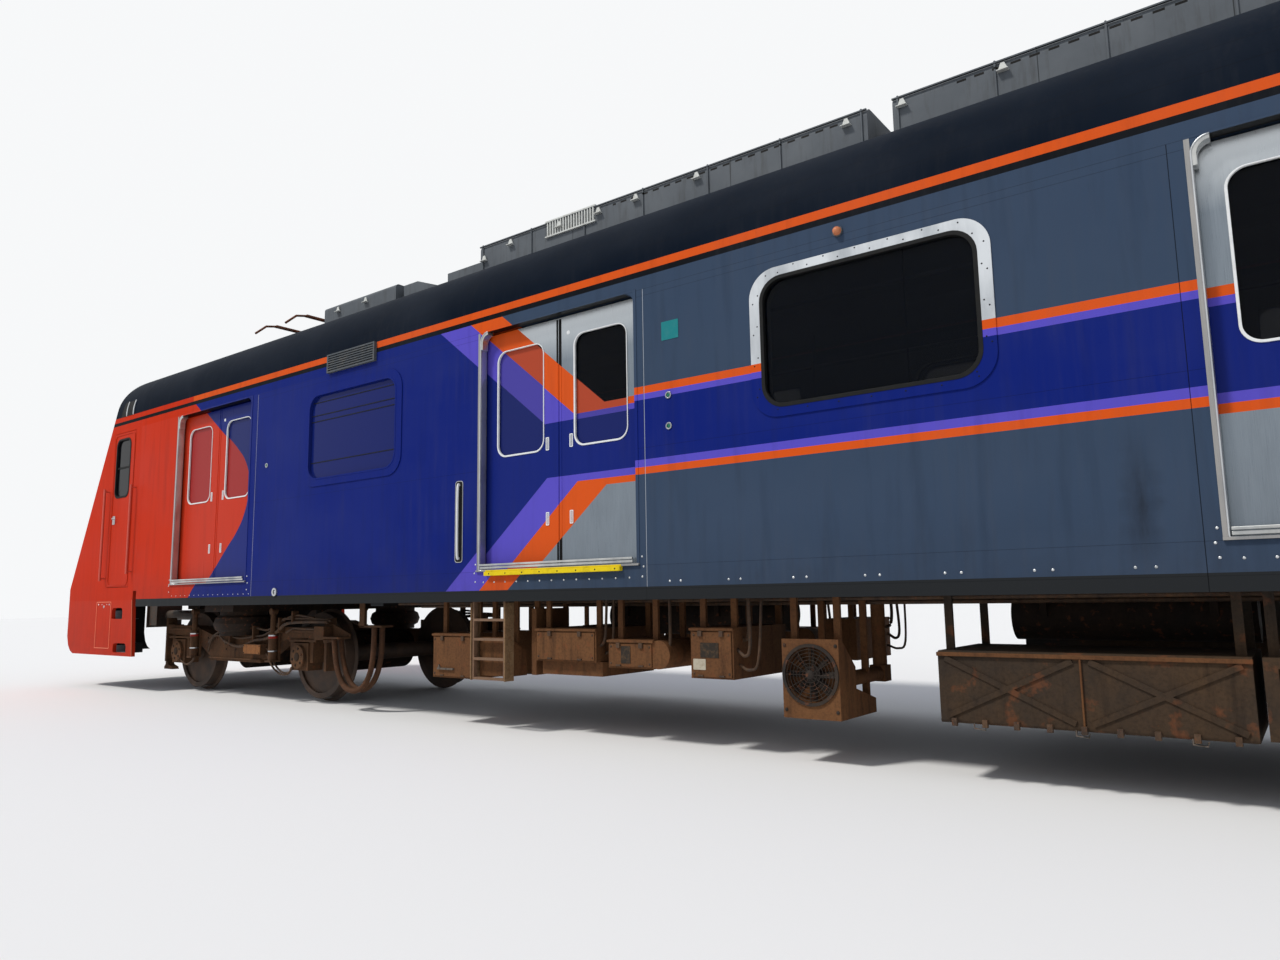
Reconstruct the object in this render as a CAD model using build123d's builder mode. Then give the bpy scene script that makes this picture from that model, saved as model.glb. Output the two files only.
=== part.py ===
from build123d import *
from math import asin, atan2, cos, degrees, pi, radians, sin
import os

os.makedirs("parts", exist_ok=True)

# Metro motor car with one driving cab, built as an assembly of separate pieces.
# X runs from the cab (low) to the rear end (high), Y across, Z up.
# Lengths are millimetres. "d" is the distance behind the nose, "h" the height above the rail top.
# Z = 0 is the lowest point of the wheel flanges, so it lies one flange height under the rail top.

# Overall body
BODY_LENGTH = 22000
BODY_WIDTH = 3000
COUPLER_REACH = 500
FLANGE_HEIGHT = 30
CLEAR = 0.3
GAP = 6
HINGE_STAND = 12
HINGE_LEAF = 46
HINGE_LENGTH = 120

# Heights of the body above the rail top
SOLE_BOTTOM = 1000
FLOOR_TOP = 1240
FLOOR_THICKNESS = 50
HEAD_HEIGHT = 3250
SHOULDER_HEIGHT = 3448
ROOF_CORNER_R = 590
CROWN_HEIGHT = 4115
ROOF_SKIN = 75
CANTRAIL_TOP = 3430
CEILING_HEIGHT = 3400
CEILING_THICKNESS = 20

# Side wall, from the outer face inwards: outer panel, door pocket, lining
OUTER_PANEL = 75
POCKET_WIDTH = 52
LINING = 25
WALL = OUTER_PANEL + POCKET_WIDTH + LINING

# Passenger doorways and their sliding leaves
DOORWAY_D = (3830, 9060, 14180, 19300)
DOORWAY_WIDTH = 1620
POST_WIDTH = 25
POCKET_LENGTH = 900
SILL_HEIGHT = 14
SILL_LIP = 18
HEADER_HEIGHT = 12
LEAF_THICKNESS = 34
LEAF_LAP = 20
LEAF_GLASS_WIDTH = 510
LEAF_GLASS_BOTTOM = 2185
LEAF_GLASS_TOP = 3060
LEAF_GLASS_R = 90
LEAF_GLASS_INSET = 165
GLASS_THICKNESS = 8

# Side windows, centred between two doorways
WINDOW_WIDTH = 1383
WINDOW_BOTTOM = 2216
WINDOW_TOP = 3070
WINDOW_R = 150
FRAME_BORDER = 84
FRAME_BORDER_HIGH = 69
FRAME_PLATE = 8
SLEEVE = 14
SLEEVE_DEPTH = 60
GLASS_RECESS = 20

# Driving cab
NOSE_CORNER_R = 150
NOSE_BOW = 70
NOSE_FLAT = 760
NOSE_BREAK = 1240
CHIN = (
    # height above the rail top, how far the nose stands back there
    (395, 200),
    (430, 115),
    (500, 45),
    (620, 0),
)
NOSE_LEAN = 0.5
NOSE_OVERRUN = 3
BROW_REACH = 383
BROW_RISE = 65
MASK_BOTTOM = 1080
MASK_SKIN = 75
MASK_REAR = 2050
APRON_BOTTOM = 395
APRON_SKIN = 45
APRON_REAR_TOP = 2040
APRON_REAR_BOTTOM = 2140
BULKHEAD_D = 2300
BULKHEAD_THICKNESS = 45
CAB_DOOR_FRONT = 1300
CAB_DOOR_REAR = 1900
CAB_DOOR_HEAD = 3230
CAB_GLASS_FRONT = 1375
CAB_GLASS_REAR = 1765
CAB_GLASS_BOTTOM = 2390
CAB_GLASS_TOP = 3140
SCREEN_BOTTOM = 1950
SCREEN_TOP = 3180
SCREEN_WIDTH = 2480
SCREEN_R = 110
SCREEN_RECESS = 10
SCREEN_GLASS = 20
COUPLER_SLOT_WIDTH = 900
COUPLER_SLOT_TOP = 1020
COUPLER_SLOT_EDGE = 60

# Rear end and inner doors
END_WALL = 90
INNER_DOOR_WIDTH = 720
INNER_DOOR_HEAD = 3190
INNER_GLASS_WIDTH = 420

# Bogies
BOGIE_D = (3850, 19350)
WHEELBASE = 2600
TRACK_GAUGE = 1600
TREAD_R = 457
WHEEL_WIDTH = 135
FLANGE_WIDTH = 34
AXLE_R = 88
JOURNAL_R = 65
JOURNAL_REACH = 1120
JOURNAL_CLEAR = 0.8
SIDE_FRAME_Y = 1050
SIDE_FRAME_WIDTH = 150
BOLSTER_BOTTOM = 925
BOLSTER_LENGTH = 620
PIVOT_R = 110
PIVOT_LOW = 480

# Couplers
COUPLER_HEIGHT = 860
COUPLER_PIVOT_IN = 900
COUPLER_BOSS = 85
COUPLER_PIN_R = 32
COUPLER_SHANK_R = 70

# Pantograph, folded: lower arm to the knee, upper arm back to the head
PAN_PIVOT_D = 3780
PAN_PIVOT_H = 4290
KNEE_D = 5000
KNEE_H = 4372
HEAD_D = 3900
HEAD_H = 4402
PAN_HEAD_HALF = 640
PAN_HORN_HALF = 900

HALF = BODY_WIDTH / 2
MID = BODY_LENGTH / 2
AXLE_H = TREAD_R
WINDOW_D = [(a + b) / 2 for a, b in zip(DOORWAY_D, DOORWAY_D[1:])]
PORTAL_WIDTH = DOORWAY_WIDTH + 2 * POST_WIDTH
POCKET_OUT = HALF - OUTER_PANEL
POCKET_IN = POCKET_OUT - POCKET_WIDTH
WALL_IN = HALF - WALL
SIDES = ((-1, "near"), (1, "far"))


def at(d):
    """X of a place d behind the nose."""
    return d - MID


def up(h):
    """Z of a place h above the rail top."""
    return h + FLANGE_HEIGHT


def block(x0, x1, y0, y1, z0, z1, mode=Mode.ADD):
    """Box between two corners, inside the open part."""
    with Locations(((x0 + x1) / 2, (y0 + y1) / 2, (z0 + z1) / 2)):
        Box(abs(x1 - x0), abs(y1 - y0), abs(z1 - z0), mode=mode)


def save(piece, name):
    """Label one finished piece and write its file."""
    piece.part.label = name
    export_step(piece.part, "parts/" + name + ".step")


def section(inset):
    """Closed body cross-section on the YZ plane, drawn in by the inset all round."""
    half = HALF - inset
    corner = ROOF_CORNER_R - inset
    crown = CROWN_HEIGHT - inset
    flat = half - corner
    rise = crown - SHOULDER_HEIGHT
    crown_r = (flat ** 2 + rise ** 2 - corner ** 2) / (2 * (rise - corner))
    lean = asin(flat / (crown_r - corner))
    y_join = flat + corner * sin(lean)
    z_join = up(SHOULDER_HEIGHT) + corner * cos(lean)
    y_turn = flat + corner * cos(pi / 4)
    z_turn = up(SHOULDER_HEIGHT) + corner * sin(pi / 4)
    with BuildSketch(Plane.YZ) as outline:
        with BuildLine():
            Line((-half, 0), (half, 0))
            Line((half, 0), (half, up(SHOULDER_HEIGHT)))
            ThreePointArc((half, up(SHOULDER_HEIGHT)), (y_turn, z_turn), (y_join, z_join))
            ThreePointArc((y_join, z_join), (0, up(crown)), (-y_join, z_join))
            ThreePointArc((-y_join, z_join), (-y_turn, z_turn), (-half, up(SHOULDER_HEIGHT)))
            Line((-half, up(SHOULDER_HEIGHT)), (-half, 0))
        make_face()
    return outline.sketch_local


def nose_form(inset):
    """Solid form of the leaning cab nose, drawn in by the inset, from the chin to the brow."""
    front = at(inset)
    rear = at(BODY_LENGTH / 4)
    half = HALF - inset + NOSE_OVERRUN
    corner = NOSE_CORNER_R - inset
    top = up(CROWN_HEIGHT) + ROOF_SKIN
    lid = up(CROWN_HEIGHT) - inset + NOSE_OVERRUN
    lean = (top - up(NOSE_BREAK)) * NOSE_LEAN
    levels = [(up(h), back) for h, back in CHIN] + [(up(NOSE_BREAK), 0), (top, lean)]
    with BuildPart() as form:
        for z, back in levels:
            with BuildSketch(Plane.XY.offset(z)) as plan:
                nose = front + back
                with BuildLine():
                    Polyline(
                        (rear, -half),
                        (rear, half),
                        (nose + NOSE_BOW, half),
                        (nose, NOSE_FLAT),
                        (nose, -NOSE_FLAT),
                        (nose + NOSE_BOW, -half),
                        close=True,
                    )
                make_face()
                corners = [v for v in plan.vertices() if abs(v.X - nose - NOSE_BOW) < 1]
                fillet(corners, radius=corner)
        loft(ruled=True)
        with BuildSketch(Plane.XZ) as profile:
            face = front - NOSE_OVERRUN
            brow_x = face + (lid - up(NOSE_BREAK)) * NOSE_LEAN
            shrink = 1 - inset / BROW_REACH
            brow_low = Vector(brow_x, lid) - Vector(NOSE_LEAN, 1).normalized() * BROW_REACH * shrink
            brow_high = Vector(brow_x + BROW_REACH * shrink, lid)
            chord = brow_high - brow_low
            rise = Vector(-chord.Y, chord.X).normalized() * BROW_RISE * shrink
            with BuildLine():
                Line((rear, lid), (rear, up(APRON_BOTTOM)))
                Line((rear, up(APRON_BOTTOM)), (face, up(APRON_BOTTOM)))
                Line((face, up(APRON_BOTTOM)), (face, up(NOSE_BREAK)))
                Line((face, up(NOSE_BREAK)), brow_low)
                ThreePointArc(brow_low, brow_low + chord / 2 + rise, brow_high)
                Line(brow_high, (rear, lid))
            make_face()
        extrude(amount=BODY_WIDTH, both=True, mode=Mode.INTERSECT)
        with BuildSketch(Plane.YZ) as tunnel:
            add(section(inset))
        extrude(tunnel.sketch, amount=BODY_LENGTH, both=True, mode=Mode.INTERSECT)
    return form.part


# Underframe: floor, sole bars, cross bearers, equipment rails and jacking pads
RAIL_LINES = (1250, 560)
RAIL_LINE_WIDTH = 60
BEARER_BOTTOM = 1080
BEARER_PITCH = 1540
BEARER_WIDTH = 70
FRAME_START = 380
SOLE_WIDTH = 150
SOLE_WEB = 12
JACK_PAD_D = (6900, 15700)
JACK_PAD_SIZE = 180
JACK_PAD_DROP = 25
POCKET_HALF = 170
COUPLER_PIN_OVER = 40
END_BEAM = 60
END_BEAM_RISE = 40

with BuildPart() as underframe:
    frame_x0 = at(FRAME_START)
    frame_x1 = at(BODY_LENGTH)
    floor_low = up(FLOOR_TOP - FLOOR_THICKNESS)
    bearer_low = up(BEARER_BOTTOM)
    block(at(MASK_REAR), frame_x1, -HALF, HALF, floor_low, up(FLOOR_TOP))
    cab_half = HALF - MASK_SKIN
    block(frame_x0, at(MASK_REAR), -cab_half, cab_half, floor_low, up(FLOOR_TOP))
    for side in (-1, 1):
        sole_out = side * HALF
        sole_in = side * (HALF - SOLE_WIDTH)
        block(at(APRON_REAR_BOTTOM), frame_x1, sole_out, sole_in, up(SOLE_BOTTOM), floor_low)
        block(
            at(APRON_REAR_BOTTOM),
            frame_x1,
            side * (HALF - SOLE_WEB),
            sole_in - side,
            up(SOLE_BOTTOM) + SOLE_WEB,
            floor_low - SOLE_WEB,
            mode=Mode.SUBTRACT,
        )
        for line in RAIL_LINES:
            block(
                frame_x0,
                frame_x1,
                side * (line - RAIL_LINE_WIDTH / 2),
                side * (line + RAIL_LINE_WIDTH / 2),
                bearer_low,
                floor_low,
            )
        for d in JACK_PAD_D:
            block(
                at(d) - JACK_PAD_SIZE / 2,
                at(d) + JACK_PAD_SIZE / 2,
                side * (HALF - SOLE_WEB),
                side * (HALF - JACK_PAD_SIZE),
                up(SOLE_BOTTOM) - JACK_PAD_DROP,
                floor_low,
            )
    bearers = int((BODY_LENGTH - FRAME_START - BEARER_WIDTH) / BEARER_PITCH)
    for i in range(bearers + 1):
        x = frame_x0 + BEARER_WIDTH / 2 + i * BEARER_PITCH
        reach = RAIL_LINES[0] if x < at(APRON_REAR_BOTTOM) else HALF - SOLE_WEB
        block(x - BEARER_WIDTH / 2, x + BEARER_WIDTH / 2, -reach, reach, bearer_low, floor_low)
    block(
        frame_x1 - END_BEAM,
        frame_x1,
        -(HALF - SOLE_WEB),
        HALF - SOLE_WEB,
        up(SOLE_BOTTOM) + END_BEAM_RISE,
        floor_low,
    )
save(underframe, "underframe")

# Bolsters with their bogie pivots, and coupler pockets with their pins, under the frame
with BuildPart() as bolsters:
    for d in BOGIE_D:
        block(
            at(d) - BOLSTER_LENGTH / 2,
            at(d) + BOLSTER_LENGTH / 2,
            -(HALF - SOLE_WIDTH),
            HALF - SOLE_WIDTH,
            up(BOLSTER_BOTTOM),
            bearer_low,
        )
        pin_length = BOLSTER_BOTTOM - PIVOT_LOW
        with Locations((at(d), 0, up(BOLSTER_BOTTOM) - pin_length / 2)):
            Cylinder(PIVOT_R, pin_length)
    for x in (at(COUPLER_PIVOT_IN), at(BODY_LENGTH - COUPLER_PIVOT_IN)):
        block(
            x - POCKET_HALF,
            x + POCKET_HALF,
            -POCKET_HALF,
            POCKET_HALF,
            up(COUPLER_HEIGHT + COUPLER_BOSS),
            floor_low,
        )
        with Locations((x, 0, up(COUPLER_HEIGHT))):
            Cylinder(COUPLER_PIN_R, 2 * COUPLER_BOSS + COUPLER_PIN_OVER)
save(bolsters, "bolsters")


# Side walls between the doorways, with window openings and door pockets
def wall_spans():
    """Start and end of each wall stretch, and whether its ends face a doorway."""
    edges = [MASK_REAR]
    for d in DOORWAY_D:
        edges += [d - PORTAL_WIDTH / 2, d + PORTAL_WIDTH / 2]
    edges.append(BODY_LENGTH - END_WALL)
    return list(zip(edges[::2], edges[1::2]))


for side, name in SIDES:
    with BuildPart() as side_panels:
        for start, end in wall_spans():
            block(
                at(start),
                at(end),
                side * HALF,
                side * WALL_IN,
                up(FLOOR_TOP),
                up(HEAD_HEIGHT),
            )
            for pocket_start, pocket_end, is_door in (
                (start, start + POCKET_LENGTH, start != MASK_REAR),
                (end - POCKET_LENGTH, end, end != BODY_LENGTH - END_WALL),
            ):
                if is_door:
                    block(
                        at(pocket_start),
                        at(pocket_end),
                        side * POCKET_OUT,
                        side * POCKET_IN,
                        up(FLOOR_TOP),
                        up(HEAD_HEIGHT),
                        mode=Mode.SUBTRACT,
                    )
        window_mid = (WINDOW_BOTTOM + WINDOW_TOP) / 2
        with BuildSketch(Plane.XZ):
            with Locations(*[(at(d), up(window_mid)) for d in WINDOW_D]):
                RectangleRounded(
                    WINDOW_WIDTH + 2 * SLEEVE,
                    WINDOW_TOP - WINDOW_BOTTOM + 2 * SLEEVE,
                    WINDOW_R + SLEEVE,
                )
        extrude(amount=-side * (HALF + WALL), mode=Mode.SUBTRACT)
    save(side_panels, "side_panels_" + name)


# Window frames: a riveted plate outside and a sleeve through the outer panel
with BuildPart() as window_frames:
    for side, name in SIDES:
        plate = side * HALF
        with BuildSketch(Plane.XZ.offset(-plate)):
            with Locations(*[(at(d), up(window_mid)) for d in WINDOW_D]):
                RectangleRounded(
                    WINDOW_WIDTH + 2 * FRAME_BORDER,
                    WINDOW_TOP - WINDOW_BOTTOM + 2 * FRAME_BORDER_HIGH,
                    WINDOW_R + FRAME_BORDER / 2,
                )
        extrude(amount=-side * FRAME_PLATE)
        with BuildSketch(Plane.XZ.offset(-plate)):
            with Locations(*[(at(d), up(window_mid)) for d in WINDOW_D]):
                RectangleRounded(
                    WINDOW_WIDTH + 2 * (SLEEVE - CLEAR),
                    WINDOW_TOP - WINDOW_BOTTOM + 2 * (SLEEVE - CLEAR),
                    WINDOW_R + SLEEVE - CLEAR,
                )
        extrude(amount=side * SLEEVE_DEPTH)
        with BuildSketch(Plane.XZ):
            with Locations(*[(at(d), up(window_mid)) for d in WINDOW_D]):
                RectangleRounded(WINDOW_WIDTH, WINDOW_TOP - WINDOW_BOTTOM, WINDOW_R)
        extrude(amount=-side * BODY_WIDTH, mode=Mode.SUBTRACT)
save(window_frames, "window_frames")


# Roof shell with its cantrails, from the cab mask to the rear end wall
with BuildPart() as roof_shell:
    with BuildSketch(Plane.YZ.offset(at(MASK_REAR))):
        add(section(0))
        add(section(ROOF_SKIN), mode=Mode.SUBTRACT)
        with Locations((0, up(HEAD_HEIGHT) / 2)):
            Rectangle(BODY_WIDTH, up(HEAD_HEIGHT), mode=Mode.SUBTRACT)
        for side in (-1, 1):
            with Locations((side * (HALF - WALL / 2), up((HEAD_HEIGHT + CANTRAIL_TOP) / 2))):
                Rectangle(WALL, CANTRAIL_TOP - HEAD_HEIGHT)
    extrude(amount=BODY_LENGTH - END_WALL - MASK_REAR)
save(roof_shell, "roof_shell")


# Saloon ceiling between the cantrails, with a raised middle duct
DUCT_HALF = 420
DUCT_RISE = 90
with BuildPart() as ceiling:
    with BuildSketch(Plane.YZ.offset(at(BULKHEAD_D + BULKHEAD_THICKNESS))):
        low = up(CEILING_HEIGHT)
        with BuildLine():
            Polyline(
                (-WALL_IN, low),
                (-DUCT_HALF - DUCT_RISE, low),
                (-DUCT_HALF, low + DUCT_RISE),
                (DUCT_HALF, low + DUCT_RISE),
                (DUCT_HALF + DUCT_RISE, low),
                (WALL_IN, low),
                (WALL_IN, low + CEILING_THICKNESS),
                (DUCT_HALF + DUCT_RISE, low + CEILING_THICKNESS),
                (DUCT_HALF, low + DUCT_RISE + CEILING_THICKNESS),
                (-DUCT_HALF, low + DUCT_RISE + CEILING_THICKNESS),
                (-DUCT_HALF - DUCT_RISE, low + CEILING_THICKNESS),
                (-WALL_IN, low + CEILING_THICKNESS),
                close=True,
            )
        make_face()
    extrude(amount=BODY_LENGTH - END_WALL - BULKHEAD_D - BULKHEAD_THICKNESS)
save(ceiling, "ceiling")


# Cab mask: the leaning front shell with windscreen and side door openings
nose_outer = nose_form(0)
nose_inner = nose_form(MASK_SKIN)
apron_inner = nose_form(APRON_SKIN)
screen_mid = (SCREEN_BOTTOM + SCREEN_TOP) / 2
screen_angle = degrees(atan2(NOSE_LEAN, 1))
screen_height = (SCREEN_TOP - SCREEN_BOTTOM) / cos(radians(screen_angle))
screen_x = at((screen_mid - NOSE_BREAK) * NOSE_LEAN)
screen_plane = Plane(
    origin=(screen_x, 0, up(screen_mid)),
    x_dir=(0, -1, 0),
    z_dir=(-cos(radians(screen_angle)), 0, sin(radians(screen_angle))),
)

with BuildPart() as cab_mask:
    add(nose_outer)
    add(nose_inner, mode=Mode.SUBTRACT)
    block(at(MASK_REAR), at(BODY_LENGTH), -HALF, HALF, 0, up(CROWN_HEIGHT), mode=Mode.SUBTRACT)
    block(at(0), at(MASK_REAR), -HALF, HALF, 0, up(MASK_BOTTOM), mode=Mode.SUBTRACT)
    block(
        at(CAB_DOOR_FRONT),
        at(CAB_DOOR_REAR),
        -HALF,
        HALF,
        up(FLOOR_TOP),
        up(CAB_DOOR_HEAD),
        mode=Mode.SUBTRACT,
    )
    with BuildSketch(screen_plane):
        RectangleRounded(SCREEN_WIDTH, screen_height, SCREEN_R)
    extrude(amount=400, both=True, mode=Mode.SUBTRACT)
save(cab_mask, "cab_mask")

# Apron under the cab, open for the coupler, with foot step openings in both sides
FOOT_STEPS = (
    # front, rear, bottom and top of each opening
    (1495, 1795, 848, 985),
    (1580, 1940, 437, 551),
)
with BuildPart() as apron:
    add(nose_outer)
    add(apron_inner, mode=Mode.SUBTRACT)
    block(
        at(0),
        at(BODY_LENGTH),
        -HALF,
        HALF,
        up(MASK_BOTTOM),
        up(CROWN_HEIGHT),
        mode=Mode.SUBTRACT,
    )
    with BuildSketch(Plane.XZ):
        with BuildLine():
            Polyline(
                (at(APRON_REAR_TOP), up(MASK_BOTTOM)),
                (at(APRON_REAR_BOTTOM), 0),
                (at(BODY_LENGTH), 0),
                (at(BODY_LENGTH), up(MASK_BOTTOM)),
                close=True,
            )
        make_face()
    extrude(amount=BODY_WIDTH, both=True, mode=Mode.SUBTRACT)
    block(
        at(0),
        at(CHIN[0][1] + APRON_SKIN + COUPLER_SLOT_EDGE),
        -COUPLER_SLOT_WIDTH / 2,
        COUPLER_SLOT_WIDTH / 2,
        up(APRON_BOTTOM),
        up(COUPLER_SLOT_TOP),
        mode=Mode.SUBTRACT,
    )
    for front, rear, low, high in FOOT_STEPS:
        block(at(front), at(rear), -HALF, HALF, up(low), up(high), mode=Mode.SUBTRACT)
save(apron, "apron")


# Rear end wall and cab bulkhead, each with one hinged door
DOOR_SILL = 12
with BuildPart() as rear_end_wall:
    with BuildSketch(Plane.YZ.offset(at(BODY_LENGTH - END_WALL))):
        add(section(0))
        with Locations((0, up(FLOOR_TOP) / 2)):
            Rectangle(BODY_WIDTH, up(FLOOR_TOP), mode=Mode.SUBTRACT)
        with Locations((0, up((FLOOR_TOP + DOOR_SILL + INNER_DOOR_HEAD) / 2))):
            Rectangle(
                INNER_DOOR_WIDTH,
                INNER_DOOR_HEAD - FLOOR_TOP - DOOR_SILL,
                mode=Mode.SUBTRACT,
            )
    extrude(amount=END_WALL)
save(rear_end_wall, "rear_end_wall")

with BuildPart() as cab_bulkhead:
    with BuildSketch(Plane.YZ.offset(at(BULKHEAD_D))):
        with Locations((0, up((FLOOR_TOP + CEILING_HEIGHT) / 2))):
            Rectangle(2 * WALL_IN, CEILING_HEIGHT - FLOOR_TOP)
        with Locations((0, up((FLOOR_TOP + DOOR_SILL + INNER_DOOR_HEAD) / 2))):
            Rectangle(
                INNER_DOOR_WIDTH,
                INNER_DOOR_HEAD - FLOOR_TOP - DOOR_SILL,
                mode=Mode.SUBTRACT,
            )
    extrude(amount=BULKHEAD_THICKNESS)
save(cab_bulkhead, "cab_bulkhead")


def hinge(x, y, z, leaf_x, leaf_y):
    """Knuckle on an upright pin at x and y, and its leaf on the door, inside the open part."""
    with Locations((x, y, z)):
        Cylinder(HINGE_STAND - CLEAR, HINGE_LENGTH)
    block(x, leaf_x, y, leaf_y, z - HINGE_LENGTH / 2, z + HINGE_LENGTH / 2)


def inner_door(d_front, thickness, way, name):
    """Hinged door in a cross wall, with a window; it opens to the side that way points to."""
    width = INNER_DOOR_WIDTH - 2 * GAP
    low = up(FLOOR_TOP + DOOR_SILL) + GAP
    high = up(INNER_DOOR_HEAD) - GAP
    face = at(d_front) + (thickness if way > 0 else 0)
    edge = INNER_DOOR_WIDTH / 2
    with BuildPart() as door:
        block(at(d_front), at(d_front) + thickness, -width / 2, width / 2, low, high)
        with BuildSketch(Plane.YZ.offset(at(d_front))):
            with Locations((0, up((LEAF_GLASS_BOTTOM + LEAF_GLASS_TOP) / 2))):
                RectangleRounded(
                    INNER_GLASS_WIDTH,
                    LEAF_GLASS_TOP - LEAF_GLASS_BOTTOM,
                    LEAF_GLASS_R,
                )
        extrude(amount=thickness, mode=Mode.SUBTRACT)
        for z in (low + 200, high - 200):
            hinge(face + way * HINGE_STAND, edge - 1, z, face, edge - HINGE_LEAF)
        with BuildSketch(Plane.YZ.offset(at(d_front) + thickness / 2 - GLASS_THICKNESS / 2)):
            with Locations((0, up((LEAF_GLASS_BOTTOM + LEAF_GLASS_TOP) / 2))):
                RectangleRounded(
                    INNER_GLASS_WIDTH - 2 * CLEAR,
                    LEAF_GLASS_TOP - LEAF_GLASS_BOTTOM - 2 * CLEAR,
                    LEAF_GLASS_R - CLEAR,
                )
        extrude(amount=GLASS_THICKNESS)
    save(door, name)


inner_door(BODY_LENGTH - END_WALL, END_WALL / 2, -1, "end_door")
inner_door(BULKHEAD_D, BULKHEAD_THICKNESS, 1, "bulkhead_door")


# Doorway frames: two posts, a sill with a step lip and a header strip at each doorway
with BuildPart() as doorway_frames:
    for side, name in SIDES:
        for d in DOORWAY_D:
            out = side * (HALF + 4)
            sill_top = up(FLOOR_TOP + SILL_HEIGHT)
            head_low = up(HEAD_HEIGHT - HEADER_HEIGHT)
            x0 = at(d) - PORTAL_WIDTH / 2
            x1 = at(d) + PORTAL_WIDTH / 2
            block(x0, x1, out + side * (SILL_LIP - 4), side * WALL_IN, up(FLOOR_TOP), sill_top)
            block(x0, x1, out, side * (POCKET_OUT + 2), head_low, up(HEAD_HEIGHT))
            for x, way in ((x0, 1), (x1, -1)):
                block(x, x + way * POST_WIDTH, out, side * (POCKET_OUT + 2), sill_top, head_low)
save(doorway_frames, "doorway_frames")


# Sliding door leaves: pressed panel, rounded window and a glass pane in it
def door_leaf(side, d, hand, name):
    """One leaf of the doorway at d; hand is -1 for the leaf nearer the cab."""
    x_meet = at(d) + hand * GAP / 2
    x_edge = at(d) + hand * (DOORWAY_WIDTH / 2 + POST_WIDTH + LEAF_LAP)
    y_out = side * (POCKET_OUT - (POCKET_WIDTH - LEAF_THICKNESS) / 2)
    y_in = y_out - side * LEAF_THICKNESS
    low = up(FLOOR_TOP + SILL_HEIGHT) + CLEAR
    high = up(HEAD_HEIGHT) - 2 * GAP - HEADER_HEIGHT
    glass_x = x_meet + hand * (LEAF_GLASS_INSET + LEAF_GLASS_WIDTH / 2)
    glass_z = up((LEAF_GLASS_BOTTOM + LEAF_GLASS_TOP) / 2)
    glass_h = LEAF_GLASS_TOP - LEAF_GLASS_BOTTOM
    with BuildPart() as leaf:
        block(x_meet, x_edge, y_out, y_in, low, high)
        with BuildSketch(Plane.XZ.offset(-y_in)):
            with Locations((glass_x, glass_z)):
                RectangleRounded(LEAF_GLASS_WIDTH, glass_h, LEAF_GLASS_R)
        extrude(amount=-side * LEAF_THICKNESS, mode=Mode.SUBTRACT)
        with BuildSketch(Plane.XZ.offset(-(y_in + side * GLASS_THICKNESS))):
            with Locations((glass_x, glass_z)):
                RectangleRounded(
                    LEAF_GLASS_WIDTH - 2 * CLEAR,
                    glass_h - 2 * CLEAR,
                    LEAF_GLASS_R - CLEAR,
                )
        extrude(amount=-side * GLASS_THICKNESS)
    save(leaf, name)


for side, name in SIDES:
    for i, d in enumerate(DOORWAY_D):
        for hand, end in ((-1, "front"), (1, "rear")):
            door_leaf(side, d, hand, "leaf_" + name + "_" + str(i + 1) + "_" + end)


# Cab side doors, hinged at their rear edge and opening inwards
for side, name in SIDES:
    y_out = side * HALF
    y_in = side * (HALF - MASK_SKIN)
    low = up(FLOOR_TOP) + GAP
    high = up(CAB_DOOR_HEAD) - GAP
    x0 = at(CAB_DOOR_FRONT) + GAP
    x1 = at(CAB_DOOR_REAR) - GAP
    glass_x = at((CAB_GLASS_FRONT + CAB_GLASS_REAR) / 2)
    glass_z = up((CAB_GLASS_BOTTOM + CAB_GLASS_TOP) / 2)
    glass_w = CAB_GLASS_REAR - CAB_GLASS_FRONT
    glass_h = CAB_GLASS_TOP - CAB_GLASS_BOTTOM
    with BuildPart() as cab_door:
        block(x0, x1, y_out, y_in, low, high)
        with BuildSketch(Plane.XZ):
            with Locations((glass_x, glass_z)):
                RectangleRounded(glass_w, glass_h, LEAF_GLASS_R)
        extrude(amount=-side * BODY_WIDTH, mode=Mode.SUBTRACT)
        for z in (low + 250, high - 250):
            hinge(at(CAB_DOOR_REAR) - 1, y_in - side * HINGE_STAND, z, x1 - HINGE_LEAF, y_in)
        with BuildSketch(Plane.XZ.offset(-(y_out - side * (GLASS_RECESS + GLASS_THICKNESS)))):
            with Locations((glass_x, glass_z)):
                RectangleRounded(glass_w - 2 * CLEAR, glass_h - 2 * CLEAR, LEAF_GLASS_R - CLEAR)
        extrude(amount=-side * GLASS_THICKNESS)
    save(cab_door, "cab_door_" + name)


# Glazing of the saloon windows and the windscreen
with BuildPart() as glazing:
    with BuildSketch(screen_plane.offset(-400)):
        RectangleRounded(
            SCREEN_WIDTH - 2 * CLEAR,
            screen_height - 2 * CLEAR,
            SCREEN_R - CLEAR,
        )
    extrude(amount=800)
    add(nose_form(SCREEN_RECESS), mode=Mode.INTERSECT)
    add(nose_form(SCREEN_RECESS + SCREEN_GLASS), mode=Mode.SUBTRACT)
    for side, name in SIDES:
        pane = side * (HALF - GLASS_RECESS - GLASS_THICKNESS)
        with BuildSketch(Plane.XZ.offset(-pane)):
            with Locations(*[(at(d), up(window_mid)) for d in WINDOW_D]):
                RectangleRounded(
                    WINDOW_WIDTH - 2 * CLEAR,
                    WINDOW_TOP - WINDOW_BOTTOM - 2 * CLEAR,
                    WINDOW_R - CLEAR,
                )
        extrude(amount=-side * GLASS_THICKNESS)
save(glazing, "glazing")



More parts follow.
